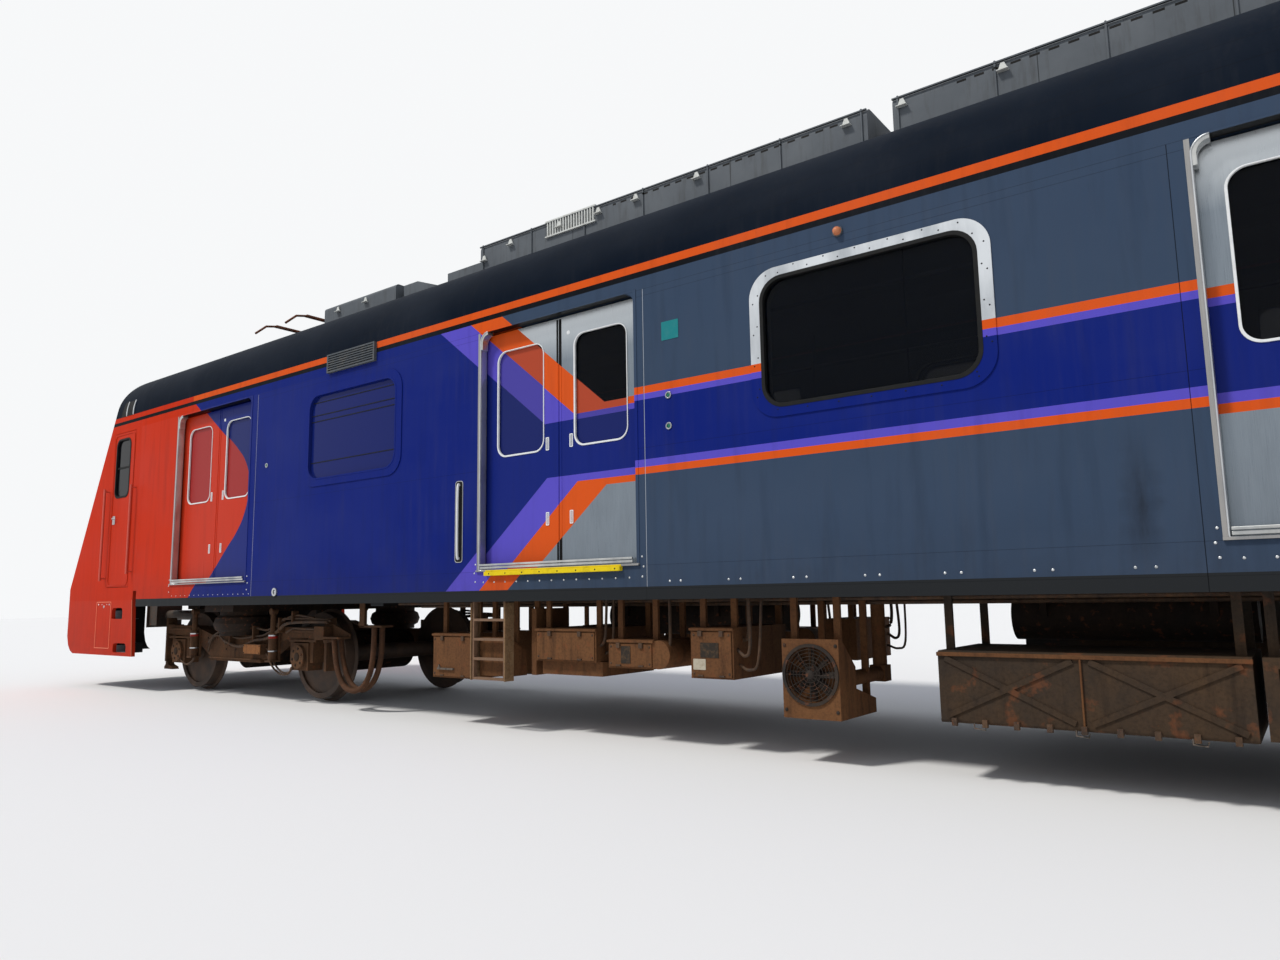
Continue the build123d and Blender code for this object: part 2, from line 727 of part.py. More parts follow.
# Roof units: two long air units, a front box, a hood, a low base and a flat cover plate
ROOF_UNITS = (
    # start, end, half width, height of the top, corner radius
    (5030, 6300, 900, 4300, 40),
    (7640, 11500, 950, 4345, 60),
    (11680, 15550, 950, 4345, 60),
)
HOOD_SPAN = (6370, 7000)
HOOD_HEIGHT = 4270
PLATE_SPAN = (7090, 7630)
PLATE_HEIGHT = 4220
with BuildPart() as roof_units:
    for start, end, half_width, top, corner in ROOF_UNITS:
        with BuildSketch(Plane.YZ.offset(at(start))) as unit:
            low = up(SHOULDER_HEIGHT + ROOF_CORNER_R - 120)
            with Locations((0, (low + up(top)) / 2)):
                Rectangle(2 * half_width, up(top) - low)
            fillet(unit.vertices().group_by(Axis.Y)[-1], radius=corner)
        extrude(amount=end - start)
    with BuildSketch(Plane.XZ) as hood:
        with BuildLine():
            Polyline(
                (at(HOOD_SPAN[0]), up(3950)),
                (at(HOOD_SPAN[0]), up(HOOD_HEIGHT)),
                (at(HOOD_SPAN[0] + 220), up(HOOD_HEIGHT)),
                (at(HOOD_SPAN[1]), up(4120)),
                (at(HOOD_SPAN[1]), up(3950)),
                close=True,
            )
        make_face()
    extrude(amount=850, both=True)
    block(
        at(PLATE_SPAN[0]),
        at(PLATE_SPAN[1]),
        -880,
        880,
        up(3950),
        up(PLATE_HEIGHT),
    )
    with BuildSketch(Plane.YZ.offset(at(MASK_REAR))):
        add(section(0))
    extrude(amount=BODY_LENGTH, mode=Mode.SUBTRACT)
save(roof_units, "roof_units")


# Side vents: a louvred grille over the cantrail on each side
VENT_WIDTH = 760
VENT_BOTTOM = 3255
VENT_TOP = 3440
VENT_DEPTH = 30
VENT_SLATS = 7
with BuildPart() as side_vents:
    for side, name in SIDES:
        out = side * HALF
        x0 = at(WINDOW_D[0]) - VENT_WIDTH / 2
        x1 = at(WINDOW_D[0]) + VENT_WIDTH / 2
        block(x0, x1, out, out + side * VENT_DEPTH, up(VENT_BOTTOM), up(VENT_TOP))
        pitch = (VENT_TOP - VENT_BOTTOM - 20) / VENT_SLATS
        for i in range(VENT_SLATS):
            z = up(VENT_BOTTOM) + 10 + i * pitch
            block(
                x0 + 20,
                x1 - 20,
                out + side * VENT_DEPTH,
                out + side * 10,
                z + 6,
                z + pitch - 4,
                mode=Mode.SUBTRACT,
            )
save(side_vents, "side_vents")


# Pantograph base: a low frame on insulators over the front bogie
PAN_BASE_FRONT = 3650
PAN_BASE_REAR = 4960
PAN_BASE_HALF = 420
PAN_BASE_HEIGHT = 4215
PAN_BEAM = 60
PAN_BEARING_HALF = 170
PIN_R = 18
TUBE_R = 22
with BuildPart() as pantograph_base:
    for y in (-PAN_BASE_HALF, PAN_BASE_HALF - PAN_BEAM):
        block(
            at(PAN_BASE_FRONT),
            at(PAN_BASE_REAR),
            y,
            y + PAN_BEAM,
            up(PAN_BASE_HEIGHT),
            up(PAN_BASE_HEIGHT) + PAN_BEAM / 2,
        )
    for x in (at(PAN_BASE_FRONT), at(PAN_PIVOT_D) - PAN_BEAM, at(PAN_BASE_REAR) - PAN_BEAM):
        block(
            x,
            x + PAN_BEAM,
            -PAN_BASE_HALF,
            PAN_BASE_HALF,
            up(PAN_BASE_HEIGHT),
            up(PAN_BASE_HEIGHT) + PAN_BEAM / 2,
        )
    for x in (at(PAN_BASE_FRONT) + PAN_BEAM, at(PAN_BASE_REAR) - PAN_BEAM):
        for y in (-PAN_BASE_HALF + PAN_BEAM / 2, PAN_BASE_HALF - PAN_BEAM / 2):
            with Locations((x, y, up(PAN_BASE_HEIGHT) - 100)):
                Cylinder(45, 200)
    for y in (-PAN_BEARING_HALF - 40, PAN_BEARING_HALF + 10):
        block(
            at(PAN_PIVOT_D) - 60,
            at(PAN_PIVOT_D) + 40,
            y,
            y + 30,
            up(PAN_BASE_HEIGHT),
            up(PAN_PIVOT_H) + 40,
        )
    with BuildSketch(Plane.XZ.offset(-HALF)):
        with Locations((at(PAN_PIVOT_D), up(PAN_PIVOT_H))):
            Circle(PIN_R + CLEAR)
    extrude(amount=BODY_WIDTH, mode=Mode.SUBTRACT)
    with BuildSketch(Plane.YZ.offset(at(MASK_REAR))):
        add(section(0))
    extrude(amount=BODY_LENGTH, mode=Mode.SUBTRACT)
save(pantograph_base, "pantograph_base")


def tube(start, end, radius, mode=Mode.ADD):
    """Round bar from one point to another, inside the open part."""
    run = Vector(*end) - Vector(*start)
    with Locations(Plane(origin=Vector(*start) + run / 2, z_dir=run.normalized()).location):
        Cylinder(radius, run.length, mode=mode)


def cross_bar(x, z, radius, half_length, mode=Mode.ADD):
    """Round bar across the car, centred on it, inside the open part."""
    tube((x, -half_length, z), (x, half_length, z), radius, mode=mode)


# Lower arm from the base to the knee, upper arm forked over the knee, and the collector head
PIVOT = (at(PAN_PIVOT_D), up(PAN_PIVOT_H))
KNEE = (at(KNEE_D), up(KNEE_H))
COLLECTOR = (at(HEAD_D), up(HEAD_H))
KNEE_HALF = 60
EAR = 24
HEAD_PIN_HALF = 300
PAN_STRIP_SPREAD = 330
with BuildPart() as pantograph_lower_arm:
    cross_bar(*PIVOT, PIN_R, PAN_BEARING_HALF + 40)
    cross_bar(*PIVOT, PIN_R + 14, PAN_BEARING_HALF + 9)
    tube((PIVOT[0], 0, PIVOT[1]), (KNEE[0], 0, KNEE[1]), TUBE_R + 8)
    cross_bar(*KNEE, PIN_R + 14, KNEE_HALF)
    cross_bar(*KNEE, PIN_R + CLEAR, KNEE_HALF, mode=Mode.SUBTRACT)
save(pantograph_lower_arm, "pantograph_lower_arm")

with BuildPart() as pantograph_upper_arm:
    cross_bar(*KNEE, PIN_R, KNEE_HALF + EAR)
    for side in (-1, 1):
        knee_y = side * (KNEE_HALF + CLEAR)
        tube(
            (KNEE[0], knee_y, KNEE[1]),
            (KNEE[0], knee_y + side * EAR, KNEE[1]),
            PIN_R + 14,
        )
        tube(
            (KNEE[0], knee_y + side * EAR / 2, KNEE[1]),
            (COLLECTOR[0], side * (HEAD_PIN_HALF - EAR), COLLECTOR[1]),
            TUBE_R / 2,
        )
    cross_bar(*COLLECTOR, PIN_R, HEAD_PIN_HALF + EAR)
save(pantograph_upper_arm, "pantograph_upper_arm")

# Collector head: two contact strips joined by side bars, with horns bent down at their ends
STRIP_WIDTH = 60
STRIP_THICKNESS = 22
STRIP_RISE = 34
HORN_DROP = 150
HORN_R = 13
HORN_SAG = 30
with BuildPart() as pantograph_head:
    for way in (-1, 1):
        x = COLLECTOR[0] + way * PAN_STRIP_SPREAD
        z = COLLECTOR[1] + STRIP_RISE
        block(
            x - STRIP_WIDTH / 2,
            x + STRIP_WIDTH / 2,
            -PAN_HEAD_HALF,
            PAN_HEAD_HALF,
            z,
            z + STRIP_THICKNESS,
        )
        for side in (-1, 1):
            root = (side * (PAN_HEAD_HALF - HORN_R), z + STRIP_THICKNESS / 2)
            tip = (side * PAN_HORN_HALF, root[1] - HORN_DROP)
            bend = ((root[0] + tip[0]) / 2, root[1] - HORN_SAG)
            tube((x, *root), (x, *bend), HORN_R)
            tube((x, *bend), (x, *tip), HORN_R)
    for side in (-1, 1):
        y0 = side * (HEAD_PIN_HALF + CLEAR)
        y1 = y0 + side * EAR
        block(
            COLLECTOR[0] - PAN_STRIP_SPREAD,
            COLLECTOR[0] + PAN_STRIP_SPREAD,
            y0,
            y1,
            COLLECTOR[1] - PIN_R - 8,
            COLLECTOR[1] + STRIP_RISE,
        )
    cross_bar(*COLLECTOR, PIN_R + CLEAR, HEAD_PIN_HALF + EAR + 1, mode=Mode.SUBTRACT)
save(pantograph_head, "pantograph_head")


# Cases hung under the floor. Each row: start, end, bottom, top, outer half width, inner half width
BRAKE_CASES = (
    (7520, 8040, 365, 737, 1350, 620),
    (8640, 8690, 420, 940, 1290, 900),
    (8750, 9360, 540, 790, 1350, 620),
    (9480, 9890, 510, 715, 1350, 900),
    (10210, 10550, 465, 807, 1350, 620),
)
CONVERTER_CASE = (11910, 13400, 290, 690, 1350, 560)
RESISTOR_CASES = (
    (13440, 14600, 306, 690, 1350, 560),
    (14660, 15400, 330, 690, 1350, 560),
)
FAN_CASE = (10910, 11300)
CASE_LIP = (8770, 9380, 435, 541, 1300, 660)
ROUND_END = (9930, 612, 100, 1350, 900)
LADDER_BOX = (8135, 8478)
LADDER_BOX_OUTLINE = ((1375, 404), (1375, 714), (1180, 590), (1180, 404))
FAN_OUTLINE = ((1350, 250), (1350, 740), (1305, 740), (1110, 560), (1110, 425), (810, 340), (810, 250))
FAN_PIPE = (11235, 480, 48)
HANGER = 45
HANGER_THICKNESS = 12


def hung_case(case, corner=0):
    """Case with strap hangers up to the equipment rails, on each side, in the open part."""
    start, end, low, high, out, inner = case
    for side in (-1, 1):
        with BuildSketch(Plane.YZ.offset(at(start))) as face:
            with Locations((side * (out + inner) / 2, up((low + high) / 2))):
                Rectangle(out - inner, high - low)
            if corner:
                fillet(face.vertices(), radius=corner)
        extrude(face.sketch, amount=end - start)
        for x in (at(start) + HANGER, at(end) - HANGER):
            if end - start < 3 * HANGER:
                x = at((start + end) / 2)
            for line in RAIL_LINES:
                y = side * max(line, inner + HANGER_THICKNESS)
                reach = up(BEARER_BOTTOM)
                block(
                    x - HANGER / 2,
                    x + HANGER / 2,
                    y - HANGER_THICKNESS,
                    y + HANGER_THICKNESS,
                    up(high) - 1,
                    reach,
                )


def bent_case(start, end, outline, side, feet):
    """Case with an outline of y and height points, hung on straps at the feet's y and height."""
    with BuildSketch(Plane.YZ.offset(at(start))) as face:
        with BuildLine():
            Polyline(*[(side * y, up(h)) for y, h in outline], close=True)
        make_face()
    extrude(face.sketch, amount=end - start)
    for x in (at(start) + HANGER, at(end) - HANGER):
        for y, foot in feet:
            block(
                x - HANGER / 2,
                x + HANGER / 2,
                side * (y - HANGER_THICKNESS),
                side * (y + HANGER_THICKNESS),
                up(foot),
                up(BEARER_BOTTOM),
            )


with BuildPart() as brake_cases:
    for case in BRAKE_CASES:
        hung_case(case)
    start, end, low, high, out, inner = CASE_LIP
    d, h, radius, near_y, far_y = ROUND_END
    for side in (-1, 1):
        block(at(start), at(end), side * out, side * inner, up(low), up(high))
        tube((at(d), side * near_y, up(h)), (at(d), side * far_y, up(h)), radius)
        bent_case(*LADDER_BOX, LADDER_BOX_OUTLINE, side, ((RAIL_LINES[0], 500),))
save(brake_cases, "brake_cases")

RIB = 10
RIB_WIDTH = 30
with BuildPart() as converter_case:
    hung_case(CONVERTER_CASE, 20)
    start, end, low, high, out, inner = CONVERTER_CASE
    for side in (-1, 1):
        for a, b in ((start, (start + end) / 2), ((start + end) / 2, end)):
            for z_start, z_end in ((low, high), (high, low)):
                with BuildSketch(Plane.XZ.offset(-side * out)):
                    with BuildLine():
                        run = Line(
                            (at(a) + 40, up(z_start) + (40 if z_start == low else -40)),
                            (at(b) - 40, up(z_end) + (40 if z_end == low else -40)),
                        )
                    trace(run, line_width=RIB_WIDTH)
                extrude(amount=-side * RIB)
save(converter_case, "converter_case")

with BuildPart() as resistor_cases:
    for case in RESISTOR_CASES:
        hung_case(case)
        start, end, low, high, out, inner = case
        slots = 9
        pitch = (end - start - 80) / slots
        for side in (-1, 1):
            for i in range(slots):
                x = at(start) + 40 + i * pitch
                block(
                    x + 18,
                    x + pitch - 18,
                    side * out,
                    side * (out - 60),
                    up(low) + 50,
                    up(high) - 50,
                    mode=Mode.SUBTRACT,
                )
save(resistor_cases, "resistor_cases")

# Fan case with a round intake, and the fan wheel that turns in it
FAN_R = 165
FAN_H = 520
FAN_DEPTH = 80
FAN_STUB = 30
FAN_STUB_R = 22
FAN_SET_BACK = 25
FAN_HUB_R = 55
FAN_BLADES = 8
BLADE_ROOT = 8
BLADE_WIDTH = 52
BLADE_THICKNESS = 5
fan_x = at((FAN_CASE[0] + FAN_CASE[1]) / 2)
fan_face = -FAN_OUTLINE[0][0]
fan_back = fan_face + FAN_DEPTH
with BuildPart() as fan_case:
    bent_case(*FAN_CASE, FAN_OUTLINE, -1, ((RAIL_LINES[0], 600), (FAN_OUTLINE[-1][0] + HANGER, 300)))
    pipe_d, pipe_h, pipe_r = FAN_PIPE
    pipe_y = -RAIL_LINES[1]
    tube((at(pipe_d), -FAN_OUTLINE[3][0] - 1, up(pipe_h)), (at(pipe_d), pipe_y, up(pipe_h)), pipe_r)
    elbow = pipe_r + GAP
    block(
        at(pipe_d) - elbow,
        at(pipe_d) + elbow,
        pipe_y - elbow,
        pipe_y + elbow,
        up(pipe_h) - elbow,
        up(pipe_h) + elbow,
    )
    tube((at(pipe_d), pipe_y, up(pipe_h)), (at(pipe_d), pipe_y, up(BEARER_BOTTOM)), pipe_r)
    tube(
        (fan_x, fan_face, up(FAN_H)),
        (fan_x, fan_back, up(FAN_H)),
        FAN_R + GAP,
        mode=Mode.SUBTRACT,
    )
    tube((fan_x, fan_back, up(FAN_H)), (fan_x, fan_back - FAN_STUB, up(FAN_H)), FAN_STUB_R)
save(fan_case, "fan_case")

with BuildPart() as fan_wheel:
    hub_face = fan_face + FAN_SET_BACK
    hub_back = fan_back - FAN_STUB - CLEAR
    tube((fan_x, hub_face, up(FAN_H)), (fan_x, hub_back, up(FAN_H)), FAN_HUB_R)
    for i in range(FAN_BLADES):
        turn = radians(360 / FAN_BLADES * i)
        reach = FAN_HUB_R - BLADE_ROOT
        blade_plane = Plane(
            origin=(
                fan_x + reach * cos(turn),
                (hub_face + hub_back) / 2,
                up(FAN_H) + reach * sin(turn),
            ),
            x_dir=(-sin(turn), 1, cos(turn)),
            z_dir=(cos(turn), 0, sin(turn)),
        )
        with BuildSketch(blade_plane):
            Rectangle(BLADE_WIDTH, BLADE_THICKNESS)
        extrude(amount=FAN_R - reach)
save(fan_wheel, "fan_wheel")


# Air tanks between the cases, on their saddles under the equipment rails
TANK_R = 150
TANK_H = 860
TANKS = ((8800, 10100), (12100, 13400))
with BuildPart() as air_tanks:
    for start, end in TANKS:
        for side in (-1, 1):
            tube((at(start), side * 350, up(TANK_H)), (at(end), side * 350, up(TANK_H)), TANK_R)
            for x in (at(start) + 200, at(end) - 200):
                block(
                    x - 20,
                    x + 20,
                    side * (RAIL_LINES[1] - RAIL_LINE_WIDTH / 2),
                    side * 200,
                    up(TANK_H),
                    up(FLOOR_TOP - FLOOR_THICKNESS),
                )
save(air_tanks, "air_tanks")


# Wheelsets: an axle with two flanged wheels, one turned piece each
flange_in = TRACK_GAUGE / 2 - FLANGE_WIDTH - 5
wheel_out = flange_in + WHEEL_WIDTH
rim = TREAD_R - 65
with BuildPart() as wheelset_form:
    with BuildSketch(Plane.XZ):
        with BuildLine():
            Polyline(
                (0, 0),
                (JOURNAL_R, 0),
                (JOURNAL_R, JOURNAL_REACH - wheel_out - 60),
                (AXLE_R + 30, JOURNAL_REACH - wheel_out + 10),
                (rim, JOURNAL_REACH - wheel_out + 25),
                (rim, JOURNAL_REACH - wheel_out),
                (TREAD_R - 8, JOURNAL_REACH - wheel_out),
                (TREAD_R, JOURNAL_REACH - flange_in - FLANGE_WIDTH),
                (TREAD_R + FLANGE_HEIGHT, JOURNAL_REACH - flange_in - FLANGE_WIDTH + 16),
                (TREAD_R + FLANGE_HEIGHT, JOURNAL_REACH - flange_in - 8),
                (rim, JOURNAL_REACH - flange_in),
                (AXLE_R + 30, JOURNAL_REACH - flange_in - 30),
                (AXLE_R, JOURNAL_REACH - flange_in + 20),
                (AXLE_R, JOURNAL_REACH),
                (0, JOURNAL_REACH),
                close=True,
            )
        make_face()
    revolve(axis=Axis.Z)
    mirror(about=Plane.XY.offset(JOURNAL_REACH))

for d, bogie in zip(BOGIE_D, ("front", "rear")):
    for way, place in ((-1, "leading"), (1, "trailing")):
        with BuildPart() as wheelset:
            stand = Plane(
                origin=(at(d) + way * WHEELBASE / 2, -JOURNAL_REACH, up(AXLE_H)),
                z_dir=(0, 1, 0),
            )
            add(stand.from_local_coords(wheelset_form.part))
        save(wheelset, "wheelset_" + bogie + "_" + place)


# Bogie frames with axle boxes, and the springs, dampers and motors they carry
BOX_HALF = 150
BOX_END = JOURNAL_REACH + 25
SIDE_BEAM_TOP = 660
SIDE_BEAM_LOW = 400
SIDE_BEAM_END = 760
BEAM_END_DEPTH = 110
BEAM_TAPER_DEPTH = 130
BEAM_END = 220
BEAM_RAMP_TOP = 330
BEAM_RAMP_LOW = 300
BEAM_MID_TOP = 560
BEAM_MID_LOW = 540
BOX_DROP = 140
BOX_COVER_R = 120
BOX_COVER = 35
PEDESTAL_WIDTH = 80
PEDESTAL_OVER = 60
KEEL_PLATE = 30
KEEL_LIP = 15
JUNCTION_BOX = (340, 670, 465, 574, 100)
DAMPER_X = 850
DAMPER_Y = 62
DAMPER_FOOT = 410
DAMPER_MID = 700
DAMPER_TOP = 925
DAMPER_BODY_R = 45
DAMPER_ROD_R = 30
DAMPER_EYE = 34
BRACKET_PLATE = 18
BRACKET_HALF = 55
BRACKET_TOP = 715
END_LUG = (200, 420, 660, 770)
GUARD_PLATE = (380, 420, 320, 850)
END_LUG_IN = 1000
END_LUG_OUT = 1110
TRANSOM_X = 330
TRANSOM_LOW = 480
CENTRE_PLATE_LOW = 500
CENTRE_PLATE_DEPTH = 130
CENTRE_PLATE_WIDTH = 420
PIVOT_TUBE_WALL = 60
PIVOT_TUBE_LOW = 400
PIVOT_TUBE_OVER = 40
SPRING_R = 250
SPRING_SEAT = 40
BELLOWS_R = 318
BELLOWS_ROUND = 24
MOTOR_R = 230
MOTOR_IN = 480
MOTOR_HALF = 540
MOTOR_NOSE_HALF = 160
TRANSOM_HALF = 70
for d, bogie in zip(BOGIE_D, ("front", "rear")):
    with BuildPart() as bogie_frame:
        axle_x = WHEELBASE / 2
        for side in (-1, 1):
            y0 = side * (SIDE_FRAME_Y - SIDE_FRAME_WIDTH / 2)
            outer = side * (SIDE_FRAME_Y + SIDE_FRAME_WIDTH / 2)
            beam_end = axle_x + BEAM_END
            ramp_top = axle_x - BEAM_RAMP_TOP
            ramp_low = axle_x - BEAM_RAMP_LOW
            with BuildSketch(Plane.XZ.offset(-y0)):
                with BuildLine():
                    Polyline(
                        (at(d) - beam_end, up(SIDE_BEAM_END)),
                        (at(d) - ramp_top, up(SIDE_BEAM_END)),
                        (at(d) - BEAM_MID_TOP, up(SIDE_BEAM_TOP)),
                        (at(d) + BEAM_MID_TOP, up(SIDE_BEAM_TOP)),
                        (at(d) + ramp_top, up(SIDE_BEAM_END)),
                        (at(d) + beam_end, up(SIDE_BEAM_END)),
                        (at(d) + beam_end, up(SIDE_BEAM_END) - BEAM_END_DEPTH),
                        (at(d) + ramp_low, up(SIDE_BEAM_END) - BEAM_TAPER_DEPTH),
                        (at(d) + BEAM_MID_LOW, up(SIDE_BEAM_LOW)),
                        (at(d) - BEAM_MID_LOW, up(SIDE_BEAM_LOW)),
                        (at(d) - ramp_low, up(SIDE_BEAM_END) - BEAM_TAPER_DEPTH),
                        (at(d) - beam_end, up(SIDE_BEAM_END) - BEAM_END_DEPTH),
                        close=True,
                    )
                make_face()
            extrude(amount=-side * SIDE_FRAME_WIDTH)
            for way in (-1, 1):
                x = at(d) + way * axle_x
                box_in = side * (wheel_out + 75)
                block(
                    x - BOX_HALF,
                    x + BOX_HALF,
                    side * BOX_END,
                    box_in,
                    up(AXLE_H) - BOX_DROP,
                    up(AXLE_H) + BOX_DROP,
                )
                tube(
                    (x, side * BOX_END, up(AXLE_H)),
                    (x, side * (BOX_END + BOX_COVER), up(AXLE_H)),
                    BOX_COVER_R,
                )
                for reach in (-BOX_HALF - PEDESTAL_OVER, BOX_HALF + PEDESTAL_OVER - PEDESTAL_WIDTH):
                    block(
                        x + reach,
                        x + reach + PEDESTAL_WIDTH,
                        y0,
                        outer,
                        up(AXLE_H) - PEDESTAL_OVER,
                        up(SIDE_BEAM_END) - BEAM_END_DEPTH + 1,
                    )
                for start, end, low, high in (END_LUG, GUARD_PLATE):
                    block(
                        x + way * start,
                        x + way * end,
                        side * END_LUG_IN,
                        side * END_LUG_OUT,
                        up(low),
                        up(high),
                    )
                x = at(d) + way * DAMPER_X
                y = outer + side * DAMPER_Y
                block(
                    x - BRACKET_HALF,
                    x + BRACKET_HALF,
                    outer,
                    outer + side * BRACKET_PLATE,
                    up(DAMPER_FOOT) - BRACKET_PLATE,
                    up(BRACKET_TOP),
                )
                block(
                    x - BRACKET_HALF,
                    x + BRACKET_HALF,
                    outer,
                    y + side * BRACKET_HALF,
                    up(DAMPER_FOOT) - BRACKET_PLATE,
                    up(DAMPER_FOOT),
                )
                tube((x, y, up(DAMPER_FOOT)), (x, y, up(DAMPER_MID)), DAMPER_BODY_R)
                tube((x, y, up(DAMPER_MID)), (x, y, up(DAMPER_TOP)), DAMPER_ROD_R)
                tube(
                    (x, y - DAMPER_EYE, up(DAMPER_TOP)),
                    (x, y + DAMPER_EYE, up(DAMPER_TOP)),
                    DAMPER_EYE,
                )
            block(
                at(d) - BEAM_MID_LOW,
                at(d) + BEAM_MID_LOW,
                y0 - side * KEEL_LIP,
                outer + side * KEEL_LIP,
                up(SIDE_BEAM_LOW) - KEEL_PLATE,
                up(SIDE_BEAM_LOW),
            )
            start, end, low, high, reach = JUNCTION_BOX
            block(at(d) + start, at(d) + end, outer, outer + side * reach, up(low), up(high))
        for x in (at(d) - TRANSOM_X, at(d) + TRANSOM_X):
            block(
                x - TRANSOM_HALF,
                x + TRANSOM_HALF,
                -SIDE_FRAME_Y,
                SIDE_FRAME_Y,
                up(TRANSOM_LOW),
                up(SIDE_BEAM_TOP) - 20,
            )
        with BuildSketch(Plane.XY.offset(up(CENTRE_PLATE_LOW))):
            with Locations((at(d), 0)):
                Rectangle(2 * TRANSOM_X, CENTRE_PLATE_WIDTH)
        extrude(amount=CENTRE_PLATE_DEPTH)
        tube(
            (at(d), 0, up(PIVOT_TUBE_LOW)),
            (at(d), 0, up(SIDE_BEAM_TOP) + PIVOT_TUBE_OVER),
            PIVOT_R + PIVOT_TUBE_WALL,
        )
        tube(
            (at(d), 0, up(PIVOT_TUBE_LOW)),
            (at(d), 0, up(BOLSTER_BOTTOM)),
            PIVOT_R + GAP,
            mode=Mode.SUBTRACT,
        )
        for way in (-1, 1):
            x = at(d) + way * axle_x
            tube(
                (x, -JOURNAL_REACH - CLEAR, up(AXLE_H)),
                (x, JOURNAL_REACH + CLEAR, up(AXLE_H)),
                JOURNAL_R + JOURNAL_CLEAR,
                mode=Mode.SUBTRACT,
            )
    save(bogie_frame, "bogie_frame_" + bogie)
    with BuildPart() as bogie_gear:
        for side in (-1, 1):
            seat = up(SIDE_BEAM_TOP)
            top = up(BOLSTER_BOTTOM) - CLEAR
            stand = Plane(origin=(at(d), side * SIDE_FRAME_Y, 0), x_dir=(1, 0, 0), z_dir=(0, -1, 0))
            with BuildSketch(stand):
                with BuildLine():
                    Polyline(
                        (0, seat),
                        (SPRING_R, seat),
                        (SPRING_R, seat + SPRING_SEAT),
                        (BELLOWS_R - BELLOWS_ROUND, seat + SPRING_SEAT + BELLOWS_ROUND),
                        (BELLOWS_R, (seat + top) / 2),
                        (BELLOWS_R - BELLOWS_ROUND, top - SPRING_SEAT - BELLOWS_ROUND),
                        (SPRING_R, top - SPRING_SEAT),
                        (SPRING_R, top),
                        (0, top),
                        close=True,
                    )
                make_face()
            revolve(axis=Axis((at(d), side * SIDE_FRAME_Y, 0), (0, 0, 1)))
        for way in (-1, 1):
            x = at(d) + way * (WHEELBASE / 2 - MOTOR_IN)
            tube((x, -MOTOR_HALF, up(AXLE_H)), (x, MOTOR_HALF, up(AXLE_H)), MOTOR_R)
            block(
                x,
                at(d) + way * (TRANSOM_X + TRANSOM_HALF + CLEAR),
                -MOTOR_NOSE_HALF,
                MOTOR_NOSE_HALF,
                up(AXLE_H) + 40,
                up(AXLE_H) + 160,
            )
    save(bogie_gear, "bogie_gear_" + bogie)


# Couplers: a head with a guide cone and cup on a shank that swings on a pocket pin
for way, name in ((-1, "front"), (1, "rear")):
    face_x = way * (MID + COUPLER_REACH)
    pivot_x = way * (MID - COUPLER_PIVOT_IN)
    z = up(COUPLER_HEIGHT)
    with BuildPart() as coupler:
        tube((pivot_x, 0, z), (face_x - way * 260, 0, z), COUPLER_SHANK_R)
        block(face_x - way * 60, face_x - way * 320, -185, 185, z - 150, z + 150)
        block(face_x - way * 60, face_x - way * 75, -215, 215, z - 180, z + 180)
        boss = COUPLER_BOSS - CLEAR
        tube((pivot_x, 0, z - boss), (pivot_x, 0, z + boss), 110)
        tube(
            (pivot_x, 0, z - 2 * boss),
            (pivot_x, 0, z + 2 * boss),
            COUPLER_PIN_R + JOURNAL_CLEAR,
            mode=Mode.SUBTRACT,
        )
        tube((face_x - way * 62, -way * 95, z), (face_x, -way * 95, z), 50)
        tube(
            (face_x - way * 60, way * 95, z),
            (face_x - way * 130, way * 95, z),
            58,
            mode=Mode.SUBTRACT,
        )
    save(coupler, "coupler_" + name)


# Saloon seats along the walls between the doorways
SEAT_HEIGHT = 430
SEAT_DEPTH = 450
SEAT_BACK = 850
SEAT_SHELL = 50
BENCH_END_GAP = 330
with BuildPart() as seats:
    for side in (-1, 1):
        for a, b in zip(DOORWAY_D, DOORWAY_D[1:]):
            x0 = at(a + DOORWAY_WIDTH / 2 + BENCH_END_GAP)
            x1 = at(b - DOORWAY_WIDTH / 2 - BENCH_END_GAP)
            back = side * WALL_IN
            front = side * (WALL_IN - SEAT_DEPTH)
            pan = up(FLOOR_TOP + SEAT_HEIGHT)
            with BuildSketch(Plane.YZ.offset(x0)):
                with BuildLine():
                    Polyline(
                        (back, up(FLOOR_TOP)),
                        (back, up(FLOOR_TOP + SEAT_BACK)),
                        (back - side * 30, up(FLOOR_TOP + SEAT_BACK)),
                        (back - side * 80, pan),
                        (front, pan + 15),
                        (front, pan - SEAT_SHELL),
                        (back - side * 300, pan - SEAT_SHELL - 10),
                        (back - side * 260, up(FLOOR_TOP)),
                        close=True,
                    )
                make_face()
            extrude(amount=x1 - x0)
save(seats, "seats")

# Grab poles at the bench ends and overhead rails
POLE_R = 17
POLE_Y = 870
with BuildPart() as poles:
    for side in (-1, 1):
        for a, b in zip(DOORWAY_D, DOORWAY_D[1:]):
            x0 = at(a + DOORWAY_WIDTH / 2 + BENCH_END_GAP) - POLE_R - 30
            x1 = at(b - DOORWAY_WIDTH / 2 - BENCH_END_GAP) + POLE_R + 30
            rail_z = up(FLOOR_TOP) + 1850
            for x in (x0, x1):
                tube((x, side * POLE_Y, up(FLOOR_TOP)), (x, side * POLE_Y, up(CEILING_HEIGHT)), POLE_R)
            tube((x0, side * POLE_Y, rail_z), (x1, side * POLE_Y, rail_z), POLE_R - 2)
save(poles, "poles")

